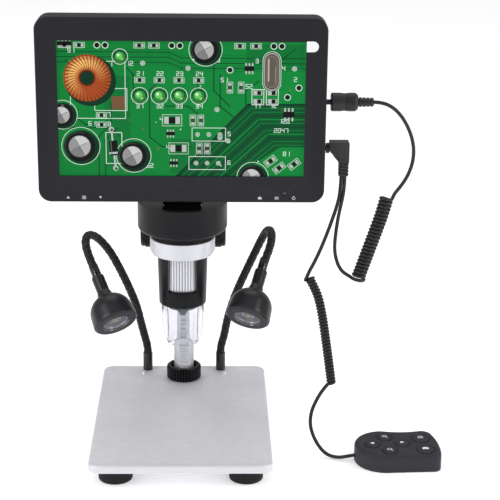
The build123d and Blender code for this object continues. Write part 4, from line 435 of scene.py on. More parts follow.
def rounded(piece, radius, angle=None):
    """Rounds a piece's edges, or only those that turn by more than the angle."""
    choose(piece)
    rounding = piece.modifiers.new("rounding", "BEVEL")
    rounding.width = radius * MM
    rounding.segments = 2
    if angle:
        rounding.limit_method = "ANGLE"
        rounding.angle_limit = angle
    bpy.ops.object.modifier_apply(modifier=rounding.name)


def coat_with(piece, finish_name):
    piece.data.materials.clear()
    piece.data.materials.append(FINISHES[finish_name])
    return piece


def dress(piece, finish_name, slot, body, *nodes):
    """Gives a piece its finish, the body that carries it and the nodes that it stands for; the slot is not used.
    """
    coat_with(piece, finish_name)
    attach(piece, body)
    if nodes:
        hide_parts(*nodes)


for finish_name, node_names in NODE_FINISHES.items():
    for node_name in node_names:
        coat_with(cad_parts[node_name], finish_name)


def nurbs(name, points, radius=0.0, steps=12, sides=3):
    """A curve on control points: order 3, held at both ends."""
    data = bpy.data.curves.new(name, "CURVE")
    data.dimensions = "3D"
    spline = data.splines.new("NURBS")
    spline.points.add(len(points) - 1)
    for knot, point in zip(spline.points, points):
        knot.co = (*point, 1.0)
    spline.order_u = 3
    spline.use_endpoint_u = True
    spline.resolution_u = steps
    data.resolution_u = steps
    data.bevel_depth = radius
    data.bevel_resolution = sides
    data.use_fill_caps = True
    return placed(name, data)


def line_of(name, points, steps=12):
    """The points along the spline that these control points give."""
    curve = nurbs(name, points, steps=steps)
    bpy.context.view_layer.update()
    mesh = bpy.data.meshes.new_from_object(curve)
    line = [vertex.co.copy() for vertex in mesh.vertices]
    bpy.data.objects.remove(curve)
    return line


def travelled(line):
    """The distance from the start to each point of a line."""
    distances = [0.0]
    for first, second in zip(line, line[1:]):
        distances.append(distances[-1] + (second - first).length)
    return distances


def spot(line, distances, distance):
    """The point and the direction at a distance along the line."""
    low, high = 0, len(line) - 1
    while high - low > 1:
        middle = (low + high) // 2
        if distances[middle] <= distance:
            low = middle
        else:
            high = middle
    run = max(distances[high] - distances[low], 1e-9)
    share = min(max((distance - distances[low]) / run, 0.0), 1.0)
    return line[low].lerp(line[high], share), (line[high] - line[low]).normalized()


def winding(
    line, begin, end, radius, turns, per_turn, phase=0.0, aim=None, loose=(0.0, 0.0), weave=0.0, weaves=0, hand=1,
):
    """Control points wound round a line between two distances along it.

    The winding starts on the side of aim, and loose opens its first and last turn by that share.
    """
    distances = travelled(line)
    count = int(abs(turns) * per_turn)
    points = []
    side = None
    for step in range(count + 1):
        share = step / count
        centre, forward = spot(line, distances, begin + (end - begin) * share)
        if side is None:
            side = aim or forward.orthogonal()
        side = (side - forward * side.dot(forward)).normalized()
        other = forward.cross(side)
        angle = phase + hand * FULL_TURN * turns * share
        reach = radius + weave * math.sin(FULL_TURN * weaves * turns * share + phase)
        reach *= 1 + loose[0] * max(0.0, 1 - share * turns) + loose[1] * max(0.0, 1 - (1 - share) * turns)
        points.append(centre + (side * math.cos(angle) + other * math.sin(angle)) * reach)
    return points


def to_mesh(piece):
    choose(piece)
    bpy.ops.object.convert(target="MESH")
    bpy.ops.object.shade_smooth()
    return piece


def joined(pieces, name):
    bpy.ops.object.select_all(action="DESELECT")
    for piece in pieces:
        piece.select_set(True)
    bpy.context.view_layer.objects.active = pieces[0]
    bpy.ops.object.join()
    pieces[0].name = name
    return pieces[0]


def turned(name, outline, start, axis, steps=64):
    """A piece turned about an axis from an outline of (radius, distance) points, in millimetres."""
    along = Vector(axis).normalized()
    across = along.orthogonal().normalized()
    base = Vector(start) * MM
    points = [base + (across * radius + along * distance) * MM for radius, distance in outline]
    piece = mesh_piece(name, points, [(place, place + 1) for place in range(len(points) - 1)], [])
    choose(piece)
    bpy.ops.object.mode_set(mode="EDIT")
    bpy.ops.mesh.select_all(action="SELECT")
    bpy.ops.mesh.spin(steps=steps, angle=FULL_TURN, center=base, axis=along)
    bpy.ops.mesh.select_all(action="SELECT")
    bpy.ops.mesh.remove_doubles(threshold=1e-6)
    bpy.ops.mesh.normals_make_consistent(inside=False)
    bpy.ops.object.mode_set(mode="OBJECT")
    bpy.ops.object.shade_smooth_by_angle(angle=math.radians(35))
    return piece


def flat_piece(name, shapes):
    """Flat shapes in one piece: each is a list of points in order, facing its own normal."""
    points, faces = [], []
    for shape in shapes:
        faces.append(tuple(range(len(points), len(points) + len(shape))))
        points.extend(shape)
    return mesh_piece(name, points, [], faces)


def cut_sheet(name, shapes, thickness):
    sheet = flat_piece(name, shapes)
    thicken(sheet, thickness)
    return sheet


def polar(centre, reach, angle):
    return centre[0] + reach * math.cos(angle), centre[1] + reach * math.sin(angle)


def ring_points(centre, radius, count):
    return [polar(centre, radius, FULL_TURN * step / count) for step in range(count)]


def ring_part(centre, inner, outer, first, second):
    """The part of a flat ring that lies between two angles."""
    ends = ((first, inner), (first, outer), (second, outer), (second, inner))
    return [polar(centre, reach, angle) for angle, reach in ends]


def box_points(centre, width, height, angle=0.0):
    cos, sin = math.cos(angle), math.sin(angle)
    corners = ((-0.5, -0.5), (0.5, -0.5), (0.5, 0.5), (-0.5, 0.5))
    return [
        (centre[0] + cos * width * x - sin * height * y, centre[1] + sin * width * x + cos * height * y)
        for x, y in corners
    ]


# ---------------------------------------------------------------- camera, floor and light


CAMERA_PLACE = (0.016, -0.9235, 0.427)
CAMERA_YAW, CAMERA_PITCH, CAMERA_ROLL = math.radians(1.733), math.radians(17.799), math.radians(0.695)


def set_camera():
    level_share = math.cos(CAMERA_PITCH)
    forward = Vector(
        (math.sin(CAMERA_YAW) * level_share, math.cos(CAMERA_YAW) * level_share, -math.sin(CAMERA_PITCH))
    )
    level = Vector((math.cos(CAMERA_YAW), -math.sin(CAMERA_YAW), 0))
    rise = level.cross(forward)
    right = level * math.cos(CAMERA_ROLL) + rise * math.sin(CAMERA_ROLL)
    up = rise * math.cos(CAMERA_ROLL) - level * math.sin(CAMERA_ROLL)
    data = bpy.data.cameras.new("camera")
    data.lens = 107.76
    data.sensor_width = 36
    data.sensor_fit = "HORIZONTAL"
    data.clip_end = 50
    camera = placed("camera", data)
    rows = [[right[row], up[row], -forward[row], CAMERA_PLACE[row]] for row in range(3)]
    camera.matrix_world = Matrix(rows + [[0, 0, 0, 1]])
    bpy.context.scene.camera = camera


def softbox(name, place, target, width, height, power):
    data = bpy.data.lights.new(name, "AREA")
    data.shape = "RECTANGLE"
    data.size = width
    data.size_y = height
    data.energy = power
    light = placed(name, data)
    light.location = place
    light.rotation_euler = (Vector(target) - Vector(place)).to_track_quat("-Z", "Y").to_euler()


def set_studio():
    """A white room with three softboxes, over a pale floor that glows a little."""
    world = bpy.data.worlds.new("studio")
    world.use_nodes = True
    sky = world.node_tree.nodes["Background"]
    fill(world.node_tree, sky, {"Color": (1, 1, 1, 1), "Strength": 0.42})
    bpy.context.scene.world = world
    softbox("left softbox", (-0.9, -0.55, 0.75), (0, 0, 0.12), 0.5, 0.9, 6)
    softbox("right softbox", (0.95, -0.35, 0.6), (0, 0, 0.12), 0.4, 0.9, 5)
    softbox("top softbox", (0.0, 0.8, 3.0), (0, 0.4, 0), 3.0, 3.0, 30)
    bpy.ops.mesh.primitive_grid_add(x_subdivisions=4, y_subdivisions=4, size=14, location=(0, 3, 0))
    floor = bpy.context.object
    floor.name = "pale_floor"
    paper = finish("pale floor", (0.96, 0.96, 0.96, 1), 0.8, relief=0.0, shade=0.01, specular=0.1)
    glow = {"Emission Color": (1, 1, 1, 1), "Emission Strength": 0.35}
    fill(paper.node_tree, paper.node_tree.nodes["Principled BSDF"], glow)
    floor.data.materials.append(paper)
    bpy.context.scene.view_settings.view_transform = "Standard"


set_camera()
set_studio()


# ---------------------------------------------------------------- cords

POWER_OUT = [
    (120.9, 1.8, 228), (127.3, 1.8, 228), (136, 1.8, 223), (143, 1.8, 213.4), (147.5, 1.8, 201.6),
    (147.9, 1.8, 190.5), (145, 1.8, 180.6), (140.4, 1.8, 173), (136.8, 1.8, 168.6),
]
POWER_COIL = [(131.7, 1.8, 165.6), (129.2, 1.8, 155), (125.3, 1.8, 142.9), (120.6, 1.8, 128.4), (114.6, 1.8, 110)]
POWER_BACK = [
    (108.2, 1.8, 112.6), (104.4, 1.8, 115.2), (101.4, 1.8, 120), (99.5, 1.8, 126.5), (98.9, 1.8, 132.5),
    (99.4, 1.8, 141), (100.9, 1.8, 153.7), (103.4, 1.8, 166), (104.15, 1.8, 174), (104.15, 1.8, 180.2),
]
REMOTE_LEAD = [
    (101.85, 1.8, 180.2), (101.7, 1.8, 171), (100.3, 1.5, 161.8), (95.7, 0.2, 147.6), (90.8, -2, 134.6),
    (86, -4.2, 124.2), (82.2, -5.3, 117.4),
]
REMOTE_COIL = [
    (82.5, -5.8, 113.2), (85.8, -8, 107.5), (88.5, -10.5, 101.5), (90.9, -13.3, 90.7), (92.8, -16, 78.4),
    (95, -18.5, 64), (97.5, -21, 45.8),
]
REMOTE_TAIL = [
    (91.6, -21.8, 41.2), (87.6, -23.5, 34.6), (84.6, -26, 28.4), (83.5, -29, 21.6), (85, -31.6, 14.8),
    (88.8, -34.2, 7.6), (94.2, -37.2, 2.4), (101.2, -40.3, 1.7), (107.5, -41.8, 3.4), (112, -41.8, 4.4),
    (117, -41.8, 4.4),
]
CORD_WIRE = 1.18 * MM
REMOTE_COIL_WIRE = 1.04 * MM
POWER_TURNS = 23.5
REMOTE_TURNS = 34
COIL_STEPS = 14
# A spline of order 3 runs this much inside a winding of that many steps a turn.
COIL_DRAW_IN = 0.975


def curly_points(axis, outside, wire, turns, aim, loose):
    """A curly cord's control points, wound round the line through the axis points."""
    line = line_of("coil axis", metres(axis))
    radius = (outside / 2 * MM - wire) / COIL_DRAW_IN
    return winding(line, 0.0, travelled(line)[-1], radius, turns, COIL_STEPS, aim=Vector(aim), loose=loose)


power_winding = curly_points(POWER_COIL, 9.4, CORD_WIRE, POWER_TURNS, (1, 0, 0), (0.0, 0.3))
power_points = metres(POWER_OUT) + power_winding + metres(POWER_BACK)
power_cord = nurbs("power_cord", power_points, CORD_WIRE, steps=4, sides=3)
dress(power_cord, "cord sleeve", "lead_sleeve", "display", "power_lead", "power_coil")
travelled(line_of("power line", power_points, 4))[-1]

remote_winding = curly_points(REMOTE_COIL, 6.3, REMOTE_COIL_WIRE, REMOTE_TURNS, (-1, 0, 0), (0.35, 0.0))


def cord_mesh(name, points, wire, steps, node):
    """One stretch of the remote's cord as a mesh tube on its own spline, and the line it follows."""
    path = line_of(name + " line", points, steps)
    piece = coat_with(to_mesh(nurbs(name, points, wire, steps=steps, sides=3)), "cord sleeve")
    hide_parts(node)
    return piece, path


REMOTE_START, REMOTE_TOP = Vector(REMOTE_LEAD[0]) * MM, remote_winding[0]
REMOTE_FOOT = remote_winding[-1]
remote_lead, lead_path = cord_mesh(
    "remote_lead_cord", metres(REMOTE_LEAD) + [REMOTE_TOP], CORD_WIRE, 8, "remote_lead"
)
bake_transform(remote_lead)
remote_coil, coil_path = cord_mesh("remote_curly_cord", remote_winding, REMOTE_COIL_WIRE, 3, "remote_coil")
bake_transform(remote_coil)
remote_tail, tail_path = cord_mesh(
    "remote_tail_cord", [REMOTE_FOOT] + metres(REMOTE_TAIL), CORD_WIRE, 8, "remote_tail"
)
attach(remote_tail, "stand")

# ---------------------------------------------------------------- goosenecks and lamps

NECKS = {
    "left": [
        (-26, 76, 29.4), (-26, 76, 33.4), (-28.3, 75.2, 42.4), (-30.6, 73.1, 53.2), (-33.2, 69.7, 66.7),
        (-38, 66.8, 80.7), (-44.2, 67, 94.5), (-50.6, 69.4, 105.9), (-57.1, 67.7, 115.2), (-62.3, 62.1, 121.2),
        (-65.7, 54.3, 123.2), (-66.5, 45.8, 121.1), (-64.5, 39.4, 115.5),
    ],
    "right": [
        (26, 76, 29.4), (26, 76, 33.4), (28.5, 75.3, 42), (30.2, 73.4, 53.4), (33.4, 70.7, 67),
        (38.3, 68.9, 81.2), (44.5, 70.1, 94.9), (50.2, 72.3, 106.7), (54.5, 69.9, 117.1), (57.4, 63.9, 124.2),
        (59.6, 55.8, 126.9), (60.2, 47.2, 125.3), (58.9, 40.4, 120),
    ],
}
LAMPS = {
    "left": ((-57.5, 32, 100.7), (0.37, -0.65, -0.66)),
    "right": ((52.7, 32, 105.3), (-0.27, -0.68, -0.68)),
}
NECK_TUCK = 5
NECK_REACH = 9
NECK_CORE_RADIUS = 2.35
BRAID_RADIUS = 2.46
BRAID_WIRE_RADIUS = 0.44
BRAID_WEAVE = 0.14
BRAID_STRANDS = 7
BRAID_TURN = 12.5
BRAID_STEPS = 24


def make_gooseneck(side):
    """A core tube under two sets of flat wires, wound against each other and woven."""
    origin, direction = LAMPS[side]
    axis = Vector(direction).normalized()
    lamp_start = Vector(origin)
    control = metres([*NECKS[side], lamp_start - NECK_TUCK * axis, lamp_start + NECK_REACH * axis])
    line = line_of("neck line", control, 10)
    reach = travelled(line)[-1] - NECK_TUCK * MM
    core = to_mesh(nurbs("core", control, NECK_CORE_RADIUS * MM, steps=10, sides=3))
    pieces = [coat_with(core, "braid core")]
    for strand in range(BRAID_STRANDS):
        for hand in (1, -1):
            points = winding(
                line, 0.0, reach, BRAID_RADIUS * MM, reach / (BRAID_TURN * MM), BRAID_STEPS,
                FULL_TURN * strand / BRAID_STRANDS, weave=BRAID_WEAVE * MM * hand, weaves=BRAID_STRANDS / 2,
                hand=hand,
            )
            wire = to_mesh(nurbs("wire", points, BRAID_WIRE_RADIUS * MM, steps=1, sides=0))
            pieces.append(coat_with(wire, "braid wire"))
    neck = joined(pieces, "gooseneck_braid_" + side)
    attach(neck, "lamp_" + side)
    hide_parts("gooseneck_" + side)


# Each fitting has its name, finish, steps round and outline of (radius, distance along the lamp).
LAMP_FITTINGS = (
    ("neck_collar_", "collar black", 48, [
        (0, -9.4), (2.7, -9.4), (3.15, -9.2), (3.25, -8.7), (3.3, -4.5), (3.25, -0.05), (0, -0.05),
    ]),
    ("reflector_", "lens black", 48, [
        (0, 32.4), (4.4, 32.4), (6.4, 33.2), (8.25, 35.1), (8.1, 34.5), (6.4, 32.8), (4.4, 32.0), (0, 32.0),
    ]),
    ("reflector_rim_", "bright reflector", 14, [
        (7.2, 34.4), (7.5, 35.0), (8.1, 35.28), (8.55, 35.2), (8.55, 35.0), (7.9, 34.8), (7.2, 34.4),
    ]),
    ("chip_cup_", "bright reflector", 12, [
        (2.4, 32.45), (2.7, 32.9), (4.5, 33.2), (4.7, 33.0), (4.5, 32.5), (2.4, 32.45),
    ]),
    ("window_rim_", "plated screw", 64, [(8.7, 36.7), (8.75, 36.95), (8.9, 37.02), (9.02, 36.98), (9.0, 36.7)]),
    ("window_lip_", "lamp black", 64, [
        (9.28, 36.98), (9.0, 36.98), (8.85, 36.8), (8.8, 35.0), (9.28, 35.0), (9.28, 36.98),
    ]),
    ("window_lens_", "window glass", 64, [
        (0, 35.4), (8.7, 35.4), (8.75, 35.6), (8.75, 36.4), (8.55, 36.6), (0, 36.6),
    ]),
    ("lamp_led_", "chip phosphor", 4, [
        (0, 34.0), (1.2, 33.9), (1.9, 33.4), (2.1, 32.8), (2.1, 32.3), (0, 32.3),
    ]),
)


for lamp_side in ("left", "right"):
    make_gooseneck(lamp_side)
    for fitting, finish_name, steps, outline in LAMP_FITTINGS:
        lamp_start, direction = LAMPS[lamp_side]
        piece = turned(fitting + lamp_side, outline, lamp_start, Vector(direction).normalized(), steps)
        stands_for = ["lamp_lens_" + lamp_side] if finish_name == "window glass" else []
        dress(piece, finish_name, "lamp_black", "lamp_" + lamp_side, *stands_for)


# ---------------------------------------------------------------- screen picture

SCREEN_CENTRE = (0.0, 224.55)
SCREEN_WIDTH = 154.2
SCREEN_HEIGHT = 85.9
SCREEN_FACE = -6.62
INK_STEP = 0.012


def clipped(outline, axis, limit, side):
    """The part of an outline that lies on one side of a straight border."""
    kept = []
    for first, second in zip(outline, outline[1:] + outline[:1]):
        inside = side * (limit - first[axis]) >= 0
        if inside:
            kept.append(first)
        if inside != (side * (limit - second[axis]) >= 0):
            share = (limit - first[axis]) / (second[axis] - first[axis])
            kept.append((first[0] + share * (second[0] - first[0]), first[1] + share * (second[1] - first[1])))
    return kept


class Picture:
    """A flat picture of many small shapes, each in its own ink, laid one over another."""

    def __init__(self):
        self.points = []
        self.faces = []
        self.inks = []

    def lay(self, outline, ink, layer):
        for axis, limit in ((0, SCREEN_WIDTH / 2), (1, SCREEN_HEIGHT / 2)):
            for side in (1, -1):
                outline = clipped(list(outline), axis, side * limit, side)
        if len(outline) < 3:
            return
        first = len(self.points)
        depth = SCREEN_FACE - INK_STEP * layer
        for x, z in outline:
            self.points.append(Vector((SCREEN_CENTRE[0] + x, depth, SCREEN_CENTRE[1] + z)) * MM)
        self.faces.append(tuple(range(first, len(self.points))))
        self.inks.append(ink)

    def disc(self, centre, radius, ink, layer, count=28):
        self.lay(ring_points(centre, radius, count), ink, layer)

    def box(self, centre, width, height, ink, layer, angle=0.0):
        self.lay(box_points(centre, width, height, angle), ink, layer)

    def ring(self, centre, radius, width, ink, layer, count=32, start=0.0, share=1.0):
        for step in range(int(count * share)):
            first = start + FULL_TURN * step / count
            second = start + FULL_TURN * (step + 1) / count
            self.lay(ring_part(centre, radius - width, radius, first, second), ink, layer)

    def stroke(self, start, end, width, ink, layer):
        middle = ((start[0] + end[0]) / 2, (start[1] + end[1]) / 2)
        run, rise = end[0] - start[0], end[1] - start[1]
        self.box(middle, math.hypot(run, rise) + width, width, ink, layer, math.atan2(rise, run))

    def trace(self, points, width, ink, layer):
        for first, second in zip(points, points[1:]):
            self.stroke(first, second, width, ink, layer)

    def frame(self, centre, width, height, line, ink, layer, angle=0.0):
        corners = box_points(centre, width, height, angle)
        self.trace(corners + corners[:1], line, ink, layer)

    def build(self, name):
        piece = mesh_piece(name, self.points, [], self.faces)
        ink_layer = piece.data.color_attributes.new("ink", "FLOAT_COLOR", "CORNER")
        corner_inks = [ink for face, ink in zip(self.faces, self.inks) for _ in face]
        for corner, ink in zip(ink_layer.data, corner_inks):
            corner.color = ink
        return piece


BOARD_GREEN = tone(4, 134, 56)
PATCH_GREEN = tone(2, 116, 50)
TRACE_GREEN = tone(1, 82, 42)
DEEP_GREEN = tone(1, 52, 32)
SILK = tone(226, 240, 230)
PAD_GREY = tone(186, 194, 188)
PAD_DARK = tone(70, 76, 72)
BLACK_INK = tone(12, 14, 13)
COPPER_DARK = tone(72, 26, 10)


def between(first, second, share):
    return tuple(a + (b - a) * share for a, b in zip(first, second))


def draw_can(picture, centre, radius):
    """An electrolytic can seen from above, in its printed circle."""
    x, z = centre
    picture.ring((x + 0.8, z + 0.2), radius * 1.42, 0.35, SILK, 3)
    picture.disc((x + 1.4, z - 0.5), radius * 1.26, DEEP_GREEN, 4)
    picture.disc(centre, radius * 1.14, BLACK_INK, 5)
    picture.ring(centre, radius * 1.06, 0.3, PAD_DARK, 6, start=1.2, share=0.45)
    picture.disc(centre, radius * 0.82, tone(112, 112, 112), 6)
    for quarter, level in enumerate((206, 150, 128, 178)):
        begin = 0.5 + quarter * math.pi / 2
        fan = [polar(centre, radius * 0.78, begin + math.pi / 2 * step / 6) for step in range(7)]
        picture.lay([centre] + fan, tone(level, level, level), 7)
        picture.stroke(centre, polar(centre, radius * 0.6, begin), 0.3, tone(96, 96, 96), 9)


def draw_toroid(picture, centre, radius):
    """A copper-wound choke seen from above: close turns, bright where they face the light."""
    x, z = centre
    picture.disc((x + 2.0, z - 1.8), radius * 1.1, DEEP_GREEN, 4)
    picture.disc(centre, radius, COPPER_DARK, 5)
    turns = 36
    bend = 0.2
    for step in range(turns):
        angle = FULL_TURN * step / turns
        for inner, outer, share in ((0.32, 1.02, 0.0), (0.4, 0.94, 0.45), (0.5, 0.8, 1.0)):
            shine = share * (0.45 + 0.55 * math.cos(angle - 2.0))
            ink = between(tone(168, 74, 30), tone(255, 206, 120), max(0.0, shine))
            half = FULL_TURN / turns * (0.38 - 0.14 * share)
            corners = ((inner, -half), (inner, half), (outer, half), (outer, -half))
            outline = [
                polar(centre, radius * reach, angle + side + bend * (reach - 0.3) * 2) for reach, side in corners
            ]
            picture.lay(outline, ink, 6 + 2 * share)
    picture.disc(centre, radius * 0.28, DEEP_GREEN, 9)
    picture.ring(centre, radius * 0.33, radius * 0.05, COPPER_DARK, 9)


def draw_chip_part(picture, centre, angle, long, wide, core=BLACK_INK):
    """A two-ended surface part on its pads, in a printed frame."""
    picture.frame(centre, long * 1.45, wide * 1.5, 0.26, SILK, 3, angle)
    for end in (-1, 1):
        picture.box(polar(centre, end * long * 0.42, angle), long * 0.34, wide * 0.96, PAD_GREY, 4, angle)
    picture.box(centre, long * 0.5, wide * 0.84, core, 5, angle)


def draw_led(picture, centre, radius):
    """A small lit lamp in its printed circle."""
    x, z = centre
    picture.ring(centre, radius, 0.36, SILK, 3)
    picture.disc(centre, radius * 0.86, tone(3, 84, 40), 4)
    picture.ring(centre, radius * 0.8, 0.3, tone(92, 176, 96), 5, 24, 3.4, 0.45)
    picture.disc(centre, radius * 0.62, tone(44, 146, 66), 5)
    picture.disc((x - radius * 0.1, z + radius * 0.1), radius * 0.4, tone(108, 206, 100), 6)
    picture.disc((x - radius * 0.2, z + radius * 0.2), radius * 0.16, tone(222, 250, 206), 7)
    shine = (x + radius * 0.25, z - radius * 0.3)
    picture.box(shine, radius * 0.3, radius * 0.16, tone(190, 214, 120), 7, 0.6)


def draw_via(picture, centre, radius, middle):
    picture.disc(centre, radius, SILK, 3)
    picture.disc(centre, radius * 0.78, TRACE_GREEN, 4)
    picture.disc(centre, radius * 0.6, middle, 5)


def draw_small_chip(picture, centre, width, height, legs):
    x, z = centre
    for side in (-1, 1):
        for leg in range(legs):
            offset = (leg - (legs - 1) / 2) * width / legs
            picture.box((x + offset, z + side * height * 0.66), width / legs * 0.5, height * 0.5, PAD_GREY, 4)
    picture.box(centre, width, height * 0.8, BLACK_INK, 5)


DIGIT_SIZE = 1.25
DIGIT_PITCH = 2.4
LIT_BARS = ("abcdef", "bc", "abged", "abgcd", "fgbc", "afgcd", "afgcde", "abc", "abcdefg", "abfgcd")
DIGIT_BARS = {
    "a": ((0, 2), (1.2, 2)), "b": ((1.2, 2), (1.2, 1)), "c": ((1.2, 1), (1.2, 0)), "d": ((0, 0), (1.2, 0)),
    "e": ((0, 1), (0, 0)), "f": ((0, 2), (0, 1)), "g": ((0, 1), (1.2, 1)),
}


def draw_number(picture, x, z, number):
    """A plain number in straight strokes."""
    for position, digit in enumerate(number):
        left = x + DIGIT_PITCH * position
        for bar in LIT_BARS[int(digit)]:
            ends = [(left + DIGIT_SIZE * across, z + DIGIT_SIZE * up) for across, up in DIGIT_BARS[bar]]
            picture.stroke(*ends, 0.38, SILK, 2.5)


def draw_ground(picture):
    """The board itself, lighter to one side, with patches and the traces that cross it."""
    columns, rows = 16, 9
    width, height = SCREEN_WIDTH / columns, SCREEN_HEIGHT / rows
    for column in range(columns):
        for row in range(rows):
            centre = ((column + 0.5) * width - SCREEN_WIDTH / 2, (row + 0.5) * height - SCREEN_HEIGHT / 2)
            light = 0.92 + 0.16 * column / columns - 0.08 * abs(row - rows / 2) / rows
            picture.box(centre, width, height, lighter(BOARD_GREEN, light), 0)
    for centre, patch_width, patch_height in (((-40, -8), 16, 58), ((8, -30), 30, 22), ((58, 34), 36, 14)):
        picture.box(centre, patch_width, patch_height, PATCH_GREEN, 0.5)
    # A wide bundle of traces that turns down to the lower edge.
    picture.lay([(77, 4), (41, 4), (-4, -43), (34, -43), (62, -24), (77, -24)], TRACE_GREEN, 0.6)
    for lane in range(12):
        level = 3.2 - lane * 2.35
        picture.trace(
            [(77, level), (42 + lane * 1.5, level), (-3 + lane * 3.4, -43)],
            0.42 if lane % 4 else 0.9, BOARD_GREEN if lane % 3 else DEEP_GREEN, 1,
        )
    for lane in range(7):
        drop = lane * 1.6
        picture.trace(
            [(-77, 37.5 - drop), (-8, 37.5 - drop), (0, 34 - drop), (77, 34 - drop)],
            0.7 if lane % 2 else 0.45, TRACE_GREEN if lane % 2 else PATCH_GREEN, 1,
        )
    for points in (
        ((-77, -12), (-44, -12), (-36, -20)), ((-12, 20), (-20, 12), (-20, -18), (-12, -24), (6, -24)),
        ((-46, 20), (-60, 20), (-66, 14)), ((24, 22), (24, 2), (34, -6)), ((48, 18), (40, 12), (40, 2)),
        ((-34, 26), (-30, 22), (-30, 6)), ((10, 24), (10, 12), (16, 6)), ((-48, -43), (-48, -20), (-40, -12)),
        ((-52, -43), (-52, -18), (-44, -8), (-44, 4)), ((20, 30), (20, 12), (30, 2)), ((-10, 2), (4, 2), (14, -6)),
        ((60, 8), (60, 30), (70, 38)), ((-77, -2), (-70, -2), (-60, -10), (-52, -10)),
    ):
        picture.trace(points, 0.8, TRACE_GREEN, 1)


CANS = (((-64, -24), 8.6), ((-31, -30), 7.8), ((14, 37.5), 7.4), ((-75, -4), 6.6), ((44, -44), 7.2))
CHIP_PARTS = (
    (((-26, 18.4), (-13.8, 18.4), (-1.6, 18.4), (10.6, 18.4), (-50, -4), (-50, -10)), 0, 4.4, 2.3, BLACK_INK),
    (((-6, -7), (-2, -25)), 0, 8.4, 4.8, BLACK_INK),
    (((7, -7), (12, -7), (11, -25), (16, -25), (30, 14), (37, 14)), math.pi / 2, 4.8, 2.4, tone(60, 70, 62)),
    (((-72, 40), (-63, 40), (-26, 40), (-17, 40), (36, 40), (46, 40)), 0, 4.6, 2.2, BLACK_INK),
)
VIAS = (
    (
        ((-52, 40), (-47, 40), (-6, 40), (-1, 40), (57, 40), (62, 40), (30, 25), (66, 8), (73, 14)),
        2.1, BLACK_INK,
    ),
    (((22, 0), (24, -18), (70, 26), (-74, 2), (-24, 29), (29, -20), (4, 26)), 1.5, PAD_GREY),
)
SMALL_CHIPS = (
    ((42, 26), 6.0, 3.8, 3), ((67, -3), 7.0, 4.6, 3), ((-7, -15.5), 5.4, 2.8, 3), ((-5, -34.5), 5.4, 2.8, 3),
    ((-72, 41), 9.0, 3.2, 4),
)
NUMBERS = (
    (-34, 27.5, "12"), (-27.5, 21.2, "21"), (-15.3, 21.2, "22"), (-3.1, 21.2, "23"), (9.1, 21.2, "24"),
    (-28, 0.8, "31"), (-15.5, 0.8, "32"), (-3.5, 0.8, "33"), (9, 0.8, "34"), (-46, -4.8, "7"),
    (-46, -10.8, "8"), (-13.5, -7.8, "41"), (-9.5, -25.6, "42"), (29, -16.8, "5"), (29, -35.4, "6"),
    (24.5, 17.5, "51"), (40, 13.5, "52"), (46, 29.5, "3"), (-58, -10.5, "61"), (-22, -37.5, "62"),
    (22, 30, "9"), (62.5, 25, "4"), (45, 1.4, "71"), (55, 1.4, "72"), (64, -29.5, "81"), (70, 18, "2"),
    (-70, 35.5, "91"), (-44.5, 27, "1"), (61, -8.5, "120"), (58, -14.5, "2047"),
)


def draw_crystal(picture, centre):
    """A crystal can, long and upright, with its bright pressed rim."""
    for width, height, ink, layer in (
        (11.6, 25.7, SILK, 3), (10.9, 25.0, TRACE_GREEN, 4), (9.9, 23.7, tone(176, 172, 164), 5),
        (8.6, 22.2, tone(84, 78, 72), 6), (7.0, 20.2, tone(122, 114, 104), 7), (5.6, 18.4, tone(98, 90, 82), 8),
    ):
        reach = (height - width) / 2
        outline = []
        for step in range(26):
            end = (centre[0], centre[1] + (reach if step < 13 else -reach))
            outline.append(polar(end, width / 2, math.pi * step / 12.5))
        picture.lay(outline, ink, layer)
    picture.box((54.0, 25), 0.8, 14, tone(196, 188, 176), 9)
    picture.box((58.2, 22), 0.5, 10, tone(150, 142, 132), 9)


def draw_diode(picture):
    """A leaded diode that stands across its frame."""
    picture.frame((-42.5, -25), 10, 20, 0.45, SILK, 3)
    picture.stroke((-44, -13), (-41.6, -38), 1.2, PAD_GREY, 5)
    for centre, width, height, ink, layer in (
        ((-42.7, -25), 5.2, 9.6, BLACK_INK, 6), ((-44.2, -24.6), 0.7, 8.6, tone(90, 90, 92), 7),
        ((-42.9, -28.2), 5.2, 1.3, PAD_GREY, 7),
    ):
        picture.box(centre, width, height, ink, layer, 0.09)
    for x, z in ((-44, -13), (-41.6, -38)):
        picture.disc((x, z), 1.7, PAD_GREY, 6)
        picture.disc((x + 0.3, z - 0.3), 0.9, PAD_DARK, 7)


